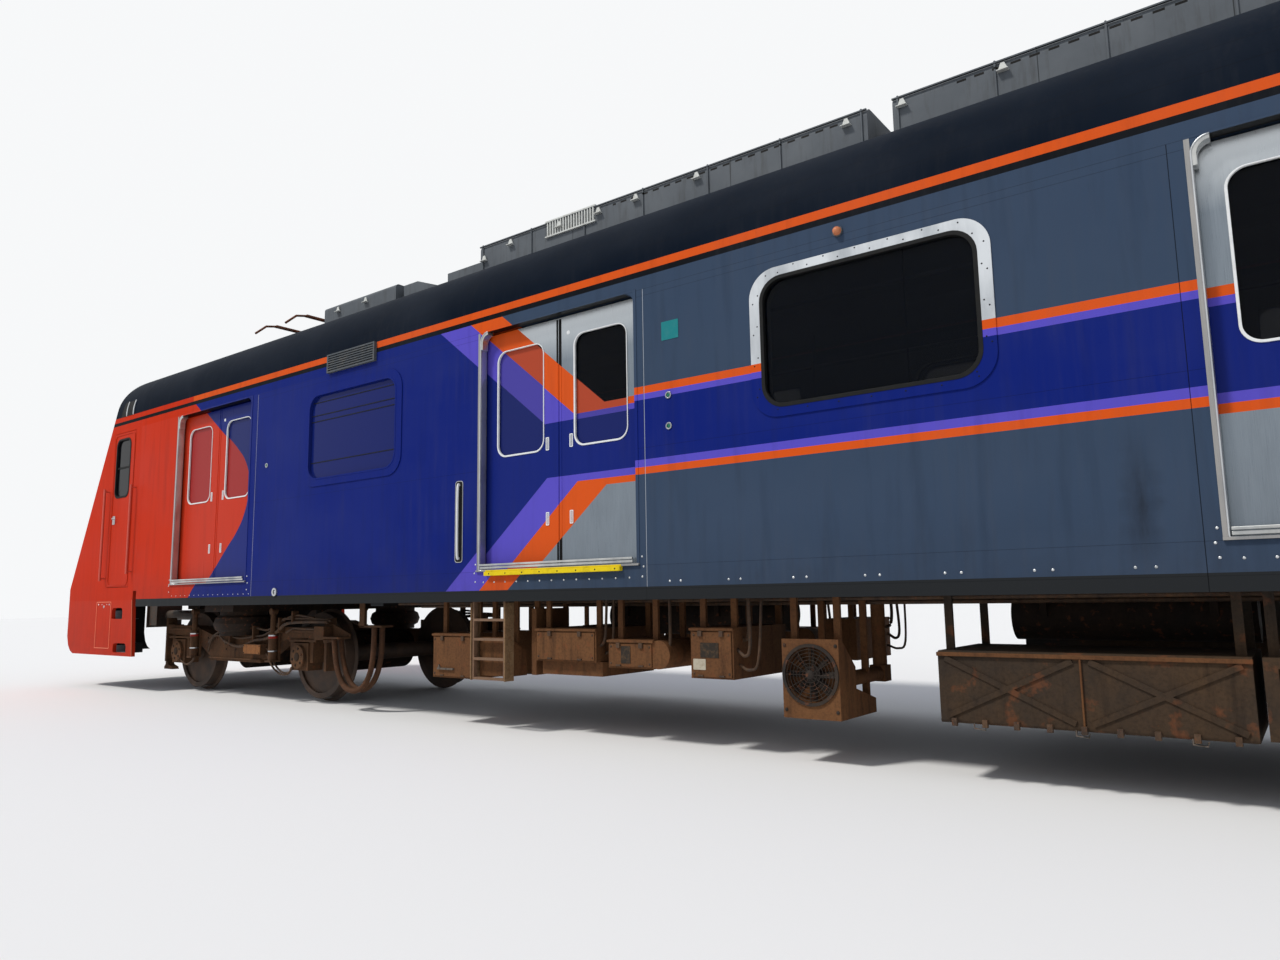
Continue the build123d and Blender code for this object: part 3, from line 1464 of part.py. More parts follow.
# Driver's desk and seat
with BuildPart() as cab_desk:
    with BuildSketch(Plane.XZ.offset(-1150)):
        with BuildLine():
            Polyline(
                (at(520), up(FLOOR_TOP)),
                (at(520), up(2000)),
                (at(760), up(2050)),
                (at(1150), up(1990)),
                (at(1150), up(1950)),
                (at(850), up(1900)),
                (at(850), up(FLOOR_TOP)),
                close=True,
            )
        make_face()
    extrude(amount=2300)
    tube((at(1650), -250, up(FLOOR_TOP)), (at(1650), -250, up(1640)), 60)
    block(at(1400), at(1880), -490, -10, up(1640), up(1720))
    block(at(1800), at(1880), -480, -20, up(1720), up(2300))
save(cab_desk, "cab_desk")

# Lamps: two headlamps in the nose and a tail and marker pair over the windscreen
LAMP_R = 85
with BuildPart() as headlamps:
    for y in (-1050, -820, 820, 1050):
        tube((at(-50), y, up(1500)), (at(900), y, up(1500)), LAMP_R)
    add(nose_form(-12), mode=Mode.INTERSECT)
    add(nose_outer, mode=Mode.SUBTRACT)
save(headlamps, "headlamps")

# Steps up the side and grab rails beside the cab side doors
LADDER = (8110, 8490, 375)
LADDER_RUNGS = 4
LADDER_OUT = 1440
LADDER_DEPTH = 40
BAR = 20
RAIL_R = 14
RAIL_STUB_R = 10
RAIL_STAND = 60
RAIL_END = 30
GRAB_RAILS = ((1225, 1330, 2510), (1975, 1400, 2510))
with BuildPart() as ladders_and_rails:
    start, end, low = LADDER
    pitch = (SOLE_BOTTOM - low) / LADDER_RUNGS
    for side in (-1, 1):
        y0 = side * LADDER_OUT
        y1 = side * (LADDER_OUT - LADDER_DEPTH)
        for x in (at(start), at(end) - BAR):
            block(x, x + BAR, y0, y1, up(low), up(SOLE_BOTTOM))
        for i in range(LADDER_RUNGS):
            z = up(low) + i * pitch
            block(at(start), at(end), y0, y1, z, z + BAR)
        for d, foot, head in GRAB_RAILS:
            y_rail = side * (HALF + RAIL_STAND)
            tube((at(d), y_rail, up(foot)), (at(d), y_rail, up(head)), RAIL_R)
            for h in (foot + RAIL_END, head - RAIL_END):
                tube((at(d), side * HALF, up(h)), (at(d), y_rail, up(h)), RAIL_STUB_R)
save(ladders_and_rails, "ladders_and_rails")
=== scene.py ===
import math

import bmesh
import bpy
from mathutils import Matrix, Vector


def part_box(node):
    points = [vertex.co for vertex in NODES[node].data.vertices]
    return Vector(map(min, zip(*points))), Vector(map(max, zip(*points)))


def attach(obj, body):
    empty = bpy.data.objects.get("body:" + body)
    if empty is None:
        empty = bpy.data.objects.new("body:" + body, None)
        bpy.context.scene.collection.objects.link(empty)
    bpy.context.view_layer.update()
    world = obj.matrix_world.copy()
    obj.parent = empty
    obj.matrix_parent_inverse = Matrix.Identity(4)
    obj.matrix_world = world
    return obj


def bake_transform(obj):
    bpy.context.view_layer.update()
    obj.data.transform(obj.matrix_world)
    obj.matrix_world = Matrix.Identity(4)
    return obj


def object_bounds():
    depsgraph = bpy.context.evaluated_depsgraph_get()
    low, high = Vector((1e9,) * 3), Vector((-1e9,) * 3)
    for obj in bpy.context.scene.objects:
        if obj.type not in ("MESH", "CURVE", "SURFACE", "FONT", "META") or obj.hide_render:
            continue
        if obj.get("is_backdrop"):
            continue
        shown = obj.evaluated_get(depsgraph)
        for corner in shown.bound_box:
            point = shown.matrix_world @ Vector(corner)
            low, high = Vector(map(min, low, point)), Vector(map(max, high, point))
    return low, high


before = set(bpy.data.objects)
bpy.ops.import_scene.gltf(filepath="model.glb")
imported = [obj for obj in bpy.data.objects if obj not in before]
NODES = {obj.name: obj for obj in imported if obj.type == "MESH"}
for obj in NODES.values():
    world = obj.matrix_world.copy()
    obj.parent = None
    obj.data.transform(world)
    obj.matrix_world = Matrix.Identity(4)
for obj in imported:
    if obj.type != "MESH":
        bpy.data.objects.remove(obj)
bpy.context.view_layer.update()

RAIL = 0.03  # height of the rail's top in the row frame


def srgb(r, g, b):
    """Linear colour of an 8-bit one."""
    out = []
    for c in (r, g, b):
        c /= 255.0
        out.append(c / 12.92 if c <= 0.04045 else ((c + 0.055) / 1.055) ** 2.4)
    return (*out, 1.0)


RED = srgb(189, 46, 16)
ORANGE = srgb(208, 82, 26)
BLUE = srgb(15, 32, 110)
VIOLET = srgb(86, 76, 184)
SLATE = srgb(54, 69, 90)
NAVY = srgb(3, 14, 28)
GUTTER = srgb(14, 16, 20)
SOLE = srgb(38, 40, 42)
WALL_INNER = srgb(206, 206, 198)
GRIME = srgb(24, 19, 16)

BODY = "carbody"
SIDES = (("near", -1), ("far", 1))
# Places on the car, heights over the rail
SKIN = 1.5  # depth of the side wall's outer face
DOORWAYS = [(d / 1000.0 - 11.0) for d in (3830, 9060, 14180, 19300)]
WINDOWS = [(a + b) / 2 for a, b in zip(DOORWAYS, DOORWAYS[1:])]
HALF_DOORWAY, DOORWAY_LOW, DOORWAY_TOP, DOORWAY_R = 0.81, 1.254, 3.238, 0.085
HALF_WINDOW, WINDOW_LOW, WINDOW_TOP = 1.383 / 2, 2.216, 3.070
PANE_MID, PANE_LOW, PANE_TOP = 0.168 + 0.255, 2.185, 3.060
DOOR_LIFT = 0.03  # the bands on the leaves sit this much lower than on the body


# ---------------------------------------------------------------- node helpers
class Tree:
    """Short calls that build shader nodes in one tree and hand back output sockets."""

    def __init__(self, tree):
        self.t = tree

    def add(self, kind, out=0, values=None, **props):
        n = self.t.nodes.new(kind)
        for k, v in props.items():
            setattr(n, k, v)
        for k, v in (values or {}).items():
            self.put(n.inputs[k], v)
        return n if out is None else n.outputs[out]

    def put(self, socket, v):
        if isinstance(v, bpy.types.NodeSocket):
            self.t.links.new(v, socket)
        else:
            socket.default_value = v

    def m(self, op, a, b=0.0, c=0.0, clamp=False):
        return self.add("ShaderNodeMath", operation=op, use_clamp=clamp, values={0: a, 1: b, 2: c})

    def mul(self, a, b, clamp=False):
        return self.m("MULTIPLY", a, b, clamp=clamp)

    def sub(self, a, b, clamp=False):
        return self.m("SUBTRACT", a, b, clamp=clamp)

    def rest(self, a, clamp=False):
        """What is left of 1."""
        return self.sub(1.0, a, clamp)

    def line(self, x, slope, base):
        return self.m("MULTIPLY_ADD", x, slope, base)

    def less(self, a, b):
        return self.m("LESS_THAN", a, b)

    def more(self, a, b):
        return self.m("GREATER_THAN", a, b)

    def abs(self, a):
        return self.m("ABSOLUTE", a)

    def mix(self, f, a, b):
        n = self.add("ShaderNodeMix", None, data_type="RGBA")
        for i, v in ((0, f), (6, a), (7, b)):
            self.put(n.inputs[i], v)
        return n.outputs[2]

    def mixf(self, f, a, b):
        n = self.add("ShaderNodeMix", None, data_type="FLOAT")
        for i, v in ((0, f), (2, a), (3, b)):
            self.put(n.inputs[i], v)
        return n.outputs[0]

    def band(self, v, low, high):
        return self.mul(self.more(v, low), self.less(v, high))

    def near(self, v, half, *places):
        """1 where v is within half of any of the places."""
        return self.any(*[self.less(self.abs(self.sub(v, p)), half) for p in places])

    def any(self, *masks):
        out = masks[0]
        for k in masks[1:]:
            out = self.m("MAXIMUM", out, k)
        return out

    def coords(self, out="Object"):
        return self.add("ShaderNodeTexCoord", out)

    def xyz(self, vector):
        n = self.add("ShaderNodeSeparateXYZ", None, values={0: vector})
        return n.outputs[0], n.outputs[1], n.outputs[2]

    def stretch(self, vector, sx, sy, sz):
        return self.add("ShaderNodeVectorMath", operation="MULTIPLY", values={0: vector, 1: (sx, sy, sz)})

    def noise(self, vector, scale, detail=3.0, rough=0.5):
        values = {"Vector": vector, "Scale": scale, "Detail": detail, "Roughness": rough}
        return self.add("ShaderNodeTexNoise", "Fac", values=values)

    def blots(self, vector, scale, detail, rough, start, end, low=0.0):
        """Noise drawn out from low at start to 1 at end."""
        n = self.add("ShaderNodeValToRGB", None, values={0: self.noise(vector, scale, detail, rough)})
        for el, pos, v in zip(n.color_ramp.elements, (start, end), (low, 1.0)):
            el.position = pos
            el.color = (v, v, v, 1)
        return n.outputs[0]

    def bump(self, height, strength, distance, normal=None):
        v = {"Strength": strength, "Distance": distance, "Height": height}
        if normal is not None:
            v["Normal"] = normal
        return self.add("ShaderNodeBump", values=v)

    def shade(self, **sockets):
        """Set or link the shader's own sockets and hand back the material."""
        for k, v in sockets.items():
            self.put(self.t.nodes["Principled BSDF"].inputs[SOCKETS[k]], v)
        return self.material


SOCKETS = {
    "color": "Base Color", "rough": "Roughness", "metal": "Metallic", "normal": "Normal",
    "alpha": "Alpha", "spec": "Specular IOR Level", "coat": "Coat Weight",
}


def new_material(name):
    """A new material's Tree, and the place on the car that its patterns follow."""
    mat = bpy.data.materials.new(name)
    mat.use_nodes = True
    t = Tree(mat.node_tree)
    t.material = mat
    return t, t.coords()


# ---------------------------------------------------------------- the livery, by place on the car
# Edge of the red front: height and x of its points
FRONT_EDGE = (
    (1.076, -7.579), (1.22, -7.433), (1.316, -7.30), (1.669, -6.90), (1.825, -6.72), (2.008, -6.58),
    (2.207, -6.513), (2.406, -6.529), (2.594, -6.62), (2.764, -6.80), (2.95, -7.06), (3.197, -7.41),
    (3.28, -7.521), (3.40, -7.69),
)
# Where violet, orange and bare begin: slope, height and -x of a point on the slanted line and height
# of its level part, above the blue and below it
BELT = (
    ((0.79, 3.334, 3.26, 2.42), (0.8255, 1.095, 3.15, 1.986)),
    ((0.804, 3.331, 2.867, 2.463), (0.848, 1.095, 2.742, 1.933)),
    ((0.819, 3.326, 2.484, 2.517), (0.832, 1.098, 2.412, 1.883)),
)
GUTTER_LOW, STRIPE_LOW, ROOF_LOW = 3.335, 3.378, 3.438
STRIPE_RED_X = -7.66  # the cantrail stripe is red from here to the cab
# Panel seams: x of the upright ones and of the bright joints beside some, heights of the level ones
FRONT_SEAM = -6.23
UPRIGHT_SEAMS = (FRONT_SEAM, -1.047, 2.27, 4.16, 7.45, 9.35)
BRIGHT_SEAMS = (-6.227, -1.044, 4.163, 9.353)
SEAM_TOP = 3.24
LEVEL_SEAMS = (SEAM_TOP, 3.19, 2.07, 1.24, 1.075)
ROOF_SEAMS = (3.56, 3.70)
# Depths of a door leaf's inner face and its glass, the depth beyond which the painted shadow band over the leaf's
# top is laid, and the height where that painted shadow begins
LEAF_INNER, LEAF_GLASS, LEAF_SHADOW_DEPTH, LEAF_SHADOW_LOW = 1.3835, 1.4125, 1.42, 3.198


def livery_group():
    g = bpy.data.node_groups.new("livery", "ShaderNodeTree")
    g.interface.new_socket("Lift", in_out="INPUT", socket_type="NodeSocketFloat")
    for name, kind in (("Color", "Color"), ("Bare", "Float"), ("Seam", "Float")):
        g.interface.new_socket(name, in_out="OUTPUT", socket_type="NodeSocket" + kind)
    t = Tree(g)
    x, y, row_z = t.xyz(t.coords())
    height = t.sub(row_z, RAIL)
    z = t.m("ADD", height, t.add("NodeGroupInput", 0))
    masks = []
    for (us, uz, ux, level_u), (ls, lz, lx, level_l) in BELT:
        upper = t.m("MAXIMUM", t.line(x, -us, uz - us * ux), level_u)
        lower = t.m("MINIMUM", t.line(x, ls, lz + ls * lx), level_l)
        masks.append(t.any(t.more(z, upper), t.less(z, lower)))
    col = BLUE
    for mask, over in zip(masks, (VIOLET, ORANGE, SLATE)):
        col = t.mix(mask, col, over)
    edge = t.add("ShaderNodeFloatCurve", None)
    z0, z1, x0, x1 = 1.0, 3.5, -7.8, -6.4
    curve = edge.mapping.curves[0]
    while len(curve.points) < len(FRONT_EDGE):
        curve.points.new(0.5, 0.5)
    for p, (ez, ex) in zip(curve.points, FRONT_EDGE):
        p.location = ((ez - z0) / (z1 - z0), (ex - x0) / (x1 - x0))
    edge.mapping.update()
    t.put(edge.inputs["Value"], t.m("DIVIDE", t.sub(z, z0), z1 - z0))
    front = t.less(x, t.line(edge.outputs[0], x1 - x0, x0))
    col = t.mix(front, col, RED)
    bare = t.mul(t.mul(masks[2], t.rest(front)), t.less(height, GUTTER_LOW))
    col = t.mix(t.band(height, GUTTER_LOW, STRIPE_LOW), col, GUTTER)
    col = t.mix(t.band(height, STRIPE_LOW, ROOF_LOW), col, t.mix(t.less(x, STRIPE_RED_X), ORANGE, RED))
    col = t.mix(t.more(height, ROOF_LOW), col, NAVY)
    wall = t.less(height, SEAM_TOP)
    outside = t.more(t.abs(y), 1.0)
    upright = t.mul(t.near(x, 0.0022, *UPRIGHT_SEAMS), wall)
    faint = t.mul(t.near(height, 0.0014, *LEVEL_SEAMS), t.more(x, FRONT_SEAM))
    faint = t.mul(t.any(faint, t.near(height, 0.0018, *ROOF_SEAMS)), 0.55)
    bright = t.mul(t.near(x, 0.0026, *BRIGHT_SEAMS), t.mul(wall, outside))
    col = t.mix(t.mul(bright, 0.55), col, srgb(190, 196, 204))
    seam = t.mul(t.mul(t.any(upright, faint), outside), t.rest(bright))
    out = t.add("NodeGroupOutput", None)
    for k, v in (("Color", col), ("Bare", bare), ("Seam", seam)):
        t.put(out.inputs[k], v)
    return g


LIVERY = livery_group()


def livery(t, lift=0.0):
    """Colour, mask of the bare panels and mask of the seams at a place on the car."""
    n = t.add("ShaderNodeGroup", None, node_tree=LIVERY)
    n.inputs["Lift"].default_value = lift
    return n.outputs["Color"], n.outputs["Bare"], n.outputs["Seam"]


def road_dirt(t, col, p, strength):
    """Rain streaks, film dirt and brown spray that thickens towards the floor."""
    z = t.xyz(p)[2]
    tall = t.stretch(p, 9.0, 9.0, 0.55)
    streak = t.noise(tall, 2.2, 5, 0.6)
    amount = t.mul(
        t.blots(tall, 2.2, 5, 0.6, 0.46, 0.72),
        t.blots(p, 1.3, 4, 0.6, 0.35, 0.7, low=0.1),
    )
    col = t.mix(t.mul(amount, 0.22 * strength), col, srgb(86, 84, 84))
    dark = t.blots(t.stretch(p, 4.0, 4.0, 0.4), 3.1, 4, 0.55, 0.5, 0.8)
    col = t.mix(t.mul(dark, 0.42 * strength), col, srgb(22, 24, 28))
    low = t.mul(t.sub(1.55, z, clamp=True), t.noise(p, 7.0, 4, 0.6))
    return t.mix(t.mul(low, 1.3 * strength, clamp=True), col, srgb(44, 41, 39)), streak


def painted(name, strength=0.5, inner=None, sole=False, black_front=False, hollow_shade=False, rough=0.36, spec=0.035):
    """Body paint with the livery outside and, where given, a plain lining inside, which on the underframe is
    partly painted shade; where asked, painted shade makes faces turned towards the car's middle near-black.
    """
    t, p = new_material(name)
    x, y, z = t.xyz(p)
    col, _, seam = livery(t)
    fade = t.blots(t.stretch(p, 1.0, 1.0, 1.6), 0.8, 4, 0.55, 0.38, 0.72)
    col = t.mix(t.mul(fade, 0.04), col, srgb(112, 120, 134))
    # one long stain below the second window
    wander = t.line(t.noise(t.stretch(p, 1, 1, 5), 2.4, 4), 0.16, 0.02)
    core = t.rest(t.m("DIVIDE", t.abs(t.sub(x, 2.02)), wander), clamp=True)
    reach = t.mul(t.mul(t.sub(z, 1.16), 6.0, clamp=True), t.mul(t.sub(1.86, z), 3.0, clamp=True))
    stain = t.mul(t.mul(core, reach), t.mul(t.noise(t.stretch(p, 6, 6, 1.5), 4, 5, 0.7), 0.85))
    col, streak = road_dirt(t, col, p, strength)
    col = t.mix(stain, col, srgb(26, 26, 27))
    if sole:
        col = t.mix(t.less(z, 1.09 + RAIL), col, SOLE)
    if inner is not None:
        inside = t.less(t.abs(y), inner[0])
        col = t.mix(inside, col, inner[1])
        seam = t.mul(seam, t.rest(inside))
    if hollow_shade or black_front:
        nx, ny, _ = t.xyz(t.coords("Normal"))
    if hollow_shade:
        # painted shade: faces turned towards the middle of the car, inside the hollows, are near-black
        col = t.mix(t.less(t.mul(ny, y), -0.15), col, srgb(24, 23, 23))
    if black_front:
        col = t.mix(t.mul(t.less(nx, -0.62), t.band(z, 1.90, 4.0)), col, srgb(12, 13, 15))
    col = t.mix(t.mul(seam, 0.8), col, srgb(12, 13, 16))
    fine = t.bump(t.noise(p, 160.0, 2), 0.04, 0.002)
    waves = t.bump(t.sub(t.noise(p, 1.1, 2), t.mul(seam, 0.5)), 0.12, 0.010, fine)
    return t.shade(color=col, rough=t.line(streak, 0.25, rough), spec=spec, normal=waves)


def brushed(t, p, col, grain_scale=(420, 420, 6)):
    """Fine grain and soft stains of rolled stainless steel: colour, roughness and bump height."""
    grain = t.noise(t.stretch(p, *grain_scale), 1.0, 3, 0.6)
    stain = t.blots(t.stretch(p, 3, 3, 0.9), 1.2, 5, 0.6, 0.42, 0.75)
    col = t.mix(t.mul(stain, 0.7), col, srgb(90, 98, 107))
    return t.mix(t.mul(grain, 0.2), col, srgb(206, 212, 216)), t.line(grain, 0.22, 0.20), grain


def door_material():
    """Door leaf: bare brushed steel under painted bands, with a tinted pane in it, a painted sky reflection that
    lightens the steel towards the top and a painted shadow band over the top.
    """
    t, p = new_material("door_leaf")
    x, y, z = t.xyz(p)
    depth = t.abs(y)
    col, bare, _ = livery(t, DOOR_LIFT)
    steel, rough, grain = brushed(t, p, srgb(112, 122, 132))
    # painted reflection: the bare steel is lightened towards the top of the leaf to stand for the bright sky it
    # mirrors
    painted_sky_reflection = t.mul(t.sub(z, 2.9), 2.6, clamp=True)
    steel = t.mix(t.mul(painted_sky_reflection, 0.75), steel, srgb(222, 226, 228))
    paint, streak = road_dirt(t, col, p, 0.35)
    inside = t.less(depth, LEAF_INNER)
    color = t.mix(inside, t.mix(bare, paint, steel), srgb(196, 198, 196))
    pane_z, half_z = (PANE_LOW + PANE_TOP) / 2 + RAIL, (PANE_TOP - PANE_LOW) / 2
    pane = t.near(x, 0.256, *[c + s * PANE_MID for c in DOORWAYS for s in (-1, 1)])
    pane = t.mul(pane, t.near(z, half_z + 0.001, pane_z))
    glazed = t.mul(pane, t.less(depth, LEAF_GLASS))
    vinyl = t.mul(t.less(x, -1.1), t.rest(bare))
    glass = t.mix(vinyl, srgb(4, 6, 12), t.mix(0.40, col, srgb(34, 38, 62)))
    # painted shadow: a near-black band over the top of the leaf stands for the shade under the doorway's header
    painted_shadow_band = t.mul(t.more(z, LEAF_SHADOW_LOW + RAIL), t.more(depth, LEAF_SHADOW_DEPTH))
    color = t.mix(painted_shadow_band, t.mix(glazed, color, glass), srgb(8, 8, 9))
    metal = t.mul(t.mul(t.any(bare, inside), 0.85), t.mul(t.rest(glazed), t.rest(painted_shadow_band)))
    rough = t.mixf(bare, t.line(streak, 0.3, 0.18), rough)
    rough = t.mixf(glazed, rough, t.line(vinyl, 0.20, 0.05))
    alpha = t.rest(t.mul(t.mul(glazed, t.rest(vinyl)), 0.30))
    bump = t.bump(t.mul(t.mul(grain, bare), 0.35), 0.12, 0.001)
    return t.shade(color=color, metal=metal, rough=rough, alpha=alpha, spec=0.08, normal=bump)


def dusty(name, base, dust, scale=4.0, amount=0.6, rough=0.75, metal=0.0):
    """Painted iron under brake dust and rust: patches, grime in the hollows, grainy bump."""
    t, p = new_material(name)
    patch = t.blots(p, scale, 6, 0.62, 0.36, 0.66)
    col = t.mix(t.mul(patch, amount), srgb(*base), srgb(*dust))
    col = t.mix(t.mul(t.blots(p, 55.0, 4, 0.7, 0.45, 0.75), 0.45), col, GRIME)
    col = t.mix(t.mul(t.blots(p, scale * 5, 5, 0.6, 0.58, 0.66), 0.5), col, srgb(112, 66, 40))
    drip = t.blots(t.stretch(p, 7, 7, 0.8), 2.5, 5, 0.6, 0.52, 0.7)
    col = t.mix(t.mul(drip, 0.45), col, GRIME)
    bump = t.bump(t.line(t.noise(p, 55.0, 4, 0.7), 0.5, patch), 0.35, 0.004)
    return t.shade(color=col, metal=metal, rough=t.line(patch, 0.15, rough), spec=0.15, normal=bump)


def plastic(name, base, rough=0.45):
    t, p = new_material(name)
    col = t.mix(t.mul(t.blots(p, 2.4, 4, 0.6, 0.35, 0.7), 0.24), srgb(*base), srgb(90, 88, 84))
    grain = t.noise(p, 260.0, 2)
    return t.shade(color=col, rough=t.line(grain, 0.2, rough - 0.1), normal=t.bump(grain, 0.12, 0.001))


def metal_mat(name, base, rough, metal=1.0, dirt=0.2):
    t, p = new_material(name)
    col, _, grain = brushed(t, p, srgb(*base))
    col = t.mix(t.mul(t.blots(p, 5.0, 5, 0.65, 0.5, 0.8), dirt), col, srgb(70, 62, 54))
    return t.shade(color=col, metal=metal, rough=t.line(grain, 0.2, rough), normal=t.bump(grain, 0.1, 0.001))


def simple_paint(name, base, rough, wear, amount, scale):
    t, p = new_material(name)
    worn = t.blots(p, scale, 6, 0.65, 0.48, 0.72)
    col = t.mix(t.mul(worn, amount), srgb(*base), srgb(*wear))
    bump = t.bump(t.noise(p, 90, 3), 0.08, 0.002)
    return t.shade(color=col, rough=t.line(worn, 0.25, rough), spec=0.15, normal=bump)


def frame_material():
    """Window frames: bare satin aluminium over the belt, painted over where the livery runs across."""
    t, p = new_material("frame_aluminium")
    z = t.xyz(p)[2]
    col, bare, _ = livery(t)
    paint, streak = road_dirt(t, col, p, 0.4)
    alu, rough, grain = brushed(t, p, srgb(196, 200, 204), (6, 420, 420))
    over = t.mul(bare, t.more(z, 2.3))
    rough = t.mixf(over, 0.4, t.m("ADD", rough, 0.12))
    return t.shade(color=t.mix(over, paint, alu), metal=t.mul(over, 0.5), rough=rough, spec=0.04,
                   normal=t.bump(grain, 0.08, 0.001))


def glass_material():
    """Saloon glass, dark and slightly see-through; the first window is under blue vinyl."""
    t, p = new_material("window_glass")
    x = t.xyz(p)[0]
    vinyl = t.band(x, -8.0, -3.2)
    color = t.mix(vinyl, srgb(4, 7, 14), t.mix(0.34, livery(t)[0], srgb(24, 28, 46)))
    alpha = t.rest(t.mul(t.rest(vinyl), 0.28))
    return t.shade(color=color, rough=t.line(t.noise(p, 3.0, 4, 0.6), 0.12, 0.04), spec=0.08, alpha=alpha,
                   normal=t.bump(t.noise(p, 1.5, 2), 0.03, 0.01))


def roof_unit_material():
    """Weathered grey housings with lid joints and a row of slots along the top edge, painted dark as shade."""
    t, p = new_material("roof_units")
    x, y, z = t.xyz(p)
    patch = t.blots(p, 2.0, 5, 0.62, 0.35, 0.7)
    col = t.mix(t.mul(patch, 0.5), srgb(98, 103, 108), srgb(76, 81, 87))
    col = t.mix(t.mul(t.blots(t.stretch(p, 8, 8, 1), 3, 5, 0.6, 0.5, 0.75), 0.4), col, srgb(56, 52, 46))
    # painted shade: the slots are dark dashes in the colour, standing for the shade inside the openings
    dash = t.less(t.m("FRACT", t.mul(x, 9.0)), 0.55)
    slot_shade = t.mul(t.mul(dash, t.near(z, 0.008, 4.315)), t.any(t.band(x, -1.75, 0.35), t.band(x, 1.1, 4.2)))
    lid = t.any(t.near(z, 0.002, 4.345), t.near(x, 0.003, -2.2, -0.6, 1.6, 2.6, 3.6))
    mask = t.mul(t.any(slot_shade, t.mul(lid, 0.7)), t.more(t.abs(y), 0.8))
    bump = t.bump(t.sub(patch, mask), 0.25, 0.004)
    return t.shade(color=t.mix(mask, col, srgb(14, 14, 14)), rough=t.line(patch, 0.2, 0.5), spec=0.12, normal=bump)


def wheel_material():
    """Brown dusty wheels with a bright running tread."""
    t, p = new_material("wheel_steel")
    _, y, z = t.xyz(p)
    col = t.mix(t.blots(p, 6, 6, 0.62, 0.36, 0.66), srgb(74, 54, 40), srgb(48, 38, 31))
    tread = t.mul(t.band(t.abs(y), 0.80, 0.885), t.less(z, 0.06))
    return t.shade(color=t.mix(tread, col, srgb(150, 146, 140)), metal=t.line(tread, 0.8, 0.1),
                   rough=t.line(tread, -0.45, 0.72), normal=t.bump(t.noise(p, 60, 4, 0.7), 0.3, 0.003))


def lamp_material():
    t, p = new_material("lamp_glass")
    values = {"Vector": p, "Scale": 40.0, "Distortion": 0.0}
    rib = t.add("ShaderNodeTexWave", "Fac", values=values, bands_direction="Y")
    return t.shade(color=t.mix(rib, srgb(206, 208, 200), srgb(236, 238, 232)), rough=0.12, spec=0.6, coat=0.5,
                   normal=t.bump(rib, 0.4, 0.004))


def post_material():
    """Doorway frames: bright posts on the cab side, painted ones on the other, with near-black painted shade on
    the painted posts' inner faces and under the header.
    """
    t, p = new_material("door_frame")
    x, y, z = t.xyz(p)
    steel, rough, grain = brushed(t, p, srgb(150, 146, 142))
    steel = t.mix(t.mul(t.less(t.abs(y), 1.499), 0.5), steel, srgb(84, 70, 64))
    paint, streak = road_dirt(t, livery(t)[0], p, 0.4)
    posts = t.any(*[t.band(x, c + 0.80, c + 0.84) for c in DOORWAYS])
    cover = t.any(t.mul(posts, t.more(z, 1.256 + RAIL)), t.more(z, 3.237 + RAIL))
    # painted shade: near-black on the inner faces of the painted posts and under the header, where shade falls in
    # the doorway
    paint = t.mix(t.less(t.abs(y), 1.4985), paint, srgb(9, 9, 10))
    return t.shade(color=t.mix(cover, steel, paint), metal=t.mul(t.rest(cover), 0.8),
                   rough=t.mixf(cover, rough, 0.4), spec=0.08, normal=t.bump(grain, 0.1, 0.001))


def edge_material():
    """Meeting edges of the leaves: black rubber that the vinyl runs across."""
    t, p = new_material("meeting_edge")
    col, bare, _ = livery(t, DOOR_LIFT)
    grain = t.noise(p, 50.0, 4, 0.6)
    return t.shade(color=t.mix(bare, col, t.mix(grain, srgb(10, 10, 11), srgb(26, 26, 26))),
                   rough=t.mixf(bare, 0.36, 0.7), spec=0.08, normal=t.bump(grain, 0.1, 0.001))


def rails_material():
    """Grab rails in the front's paint, steps in dusty brown."""
    t, p = new_material("ladders_and_rails")
    z = t.xyz(p)[2]
    grain = t.noise(p, 40, 5, 0.65)
    rust = t.mix(grain, srgb(134, 102, 76), srgb(84, 64, 50))
    paint = t.mix(t.mul(grain, 0.3), livery(t)[0], srgb(210, 150, 130))
    low = t.less(z, 1.2)
    return t.shade(color=t.mix(low, paint, rust), rough=t.mixf(low, 0.35, 0.8), normal=t.bump(grain, 0.15, 0.002))


# ---------------------------------------------------------------- materials of the CAD nodes
# name, colour, roughness, worn colour, share of wear, scale of wear
PAINTS = {
    "black": ("black_rubber", (16, 17, 18), 0.6, (60, 58, 54), 0.25, 20),
    "vent": ("vent_paint", (74, 79, 84), 0.5, (120, 116, 108), 0.5, 12),
    "pan": ("step_pan", (128, 136, 140), 0.5, (96, 84, 72), 0.45, 16),
    "rim_light": ("rim_light", (224, 122, 92), 0.4, (200, 96, 70), 0.4, 20),
    "sticker": ("blank_label", (176, 168, 150), 0.5, (120, 96, 72), 0.5, 30),
    "plate_dark": ("blank_plate", (44, 38, 32), 0.5, (110, 84, 58), 0.5, 30),
    "white": ("white_seal", (226, 228, 228), 0.35, (140, 138, 132), 0.18, 14),
    "yellow": ("step_yellow", (222, 196, 20), 0.5, (120, 104, 30), 0.35, 16),
    "lug": ("lug_paint", (206, 208, 204), 0.5, (120, 104, 84), 0.35, 22),
    "teal": ("teal_plate", (24, 118, 122), 0.4, (90, 130, 130), 0.15, 16),
    "cab_glass": ("cab_glass", (7, 9, 13), 0.08, (22, 26, 32), 0.3, 3),
    "marker_red": ("marker_red", (150, 40, 32), 0.5, (110, 90, 76), 0.4, 24),
    "amber": ("amber_lamp", (196, 120, 84), 0.2, (220, 160, 120), 0.3, 30),
    "green": ("port_green", (26, 104, 84), 0.3, (120, 150, 140), 0.3, 60),
}
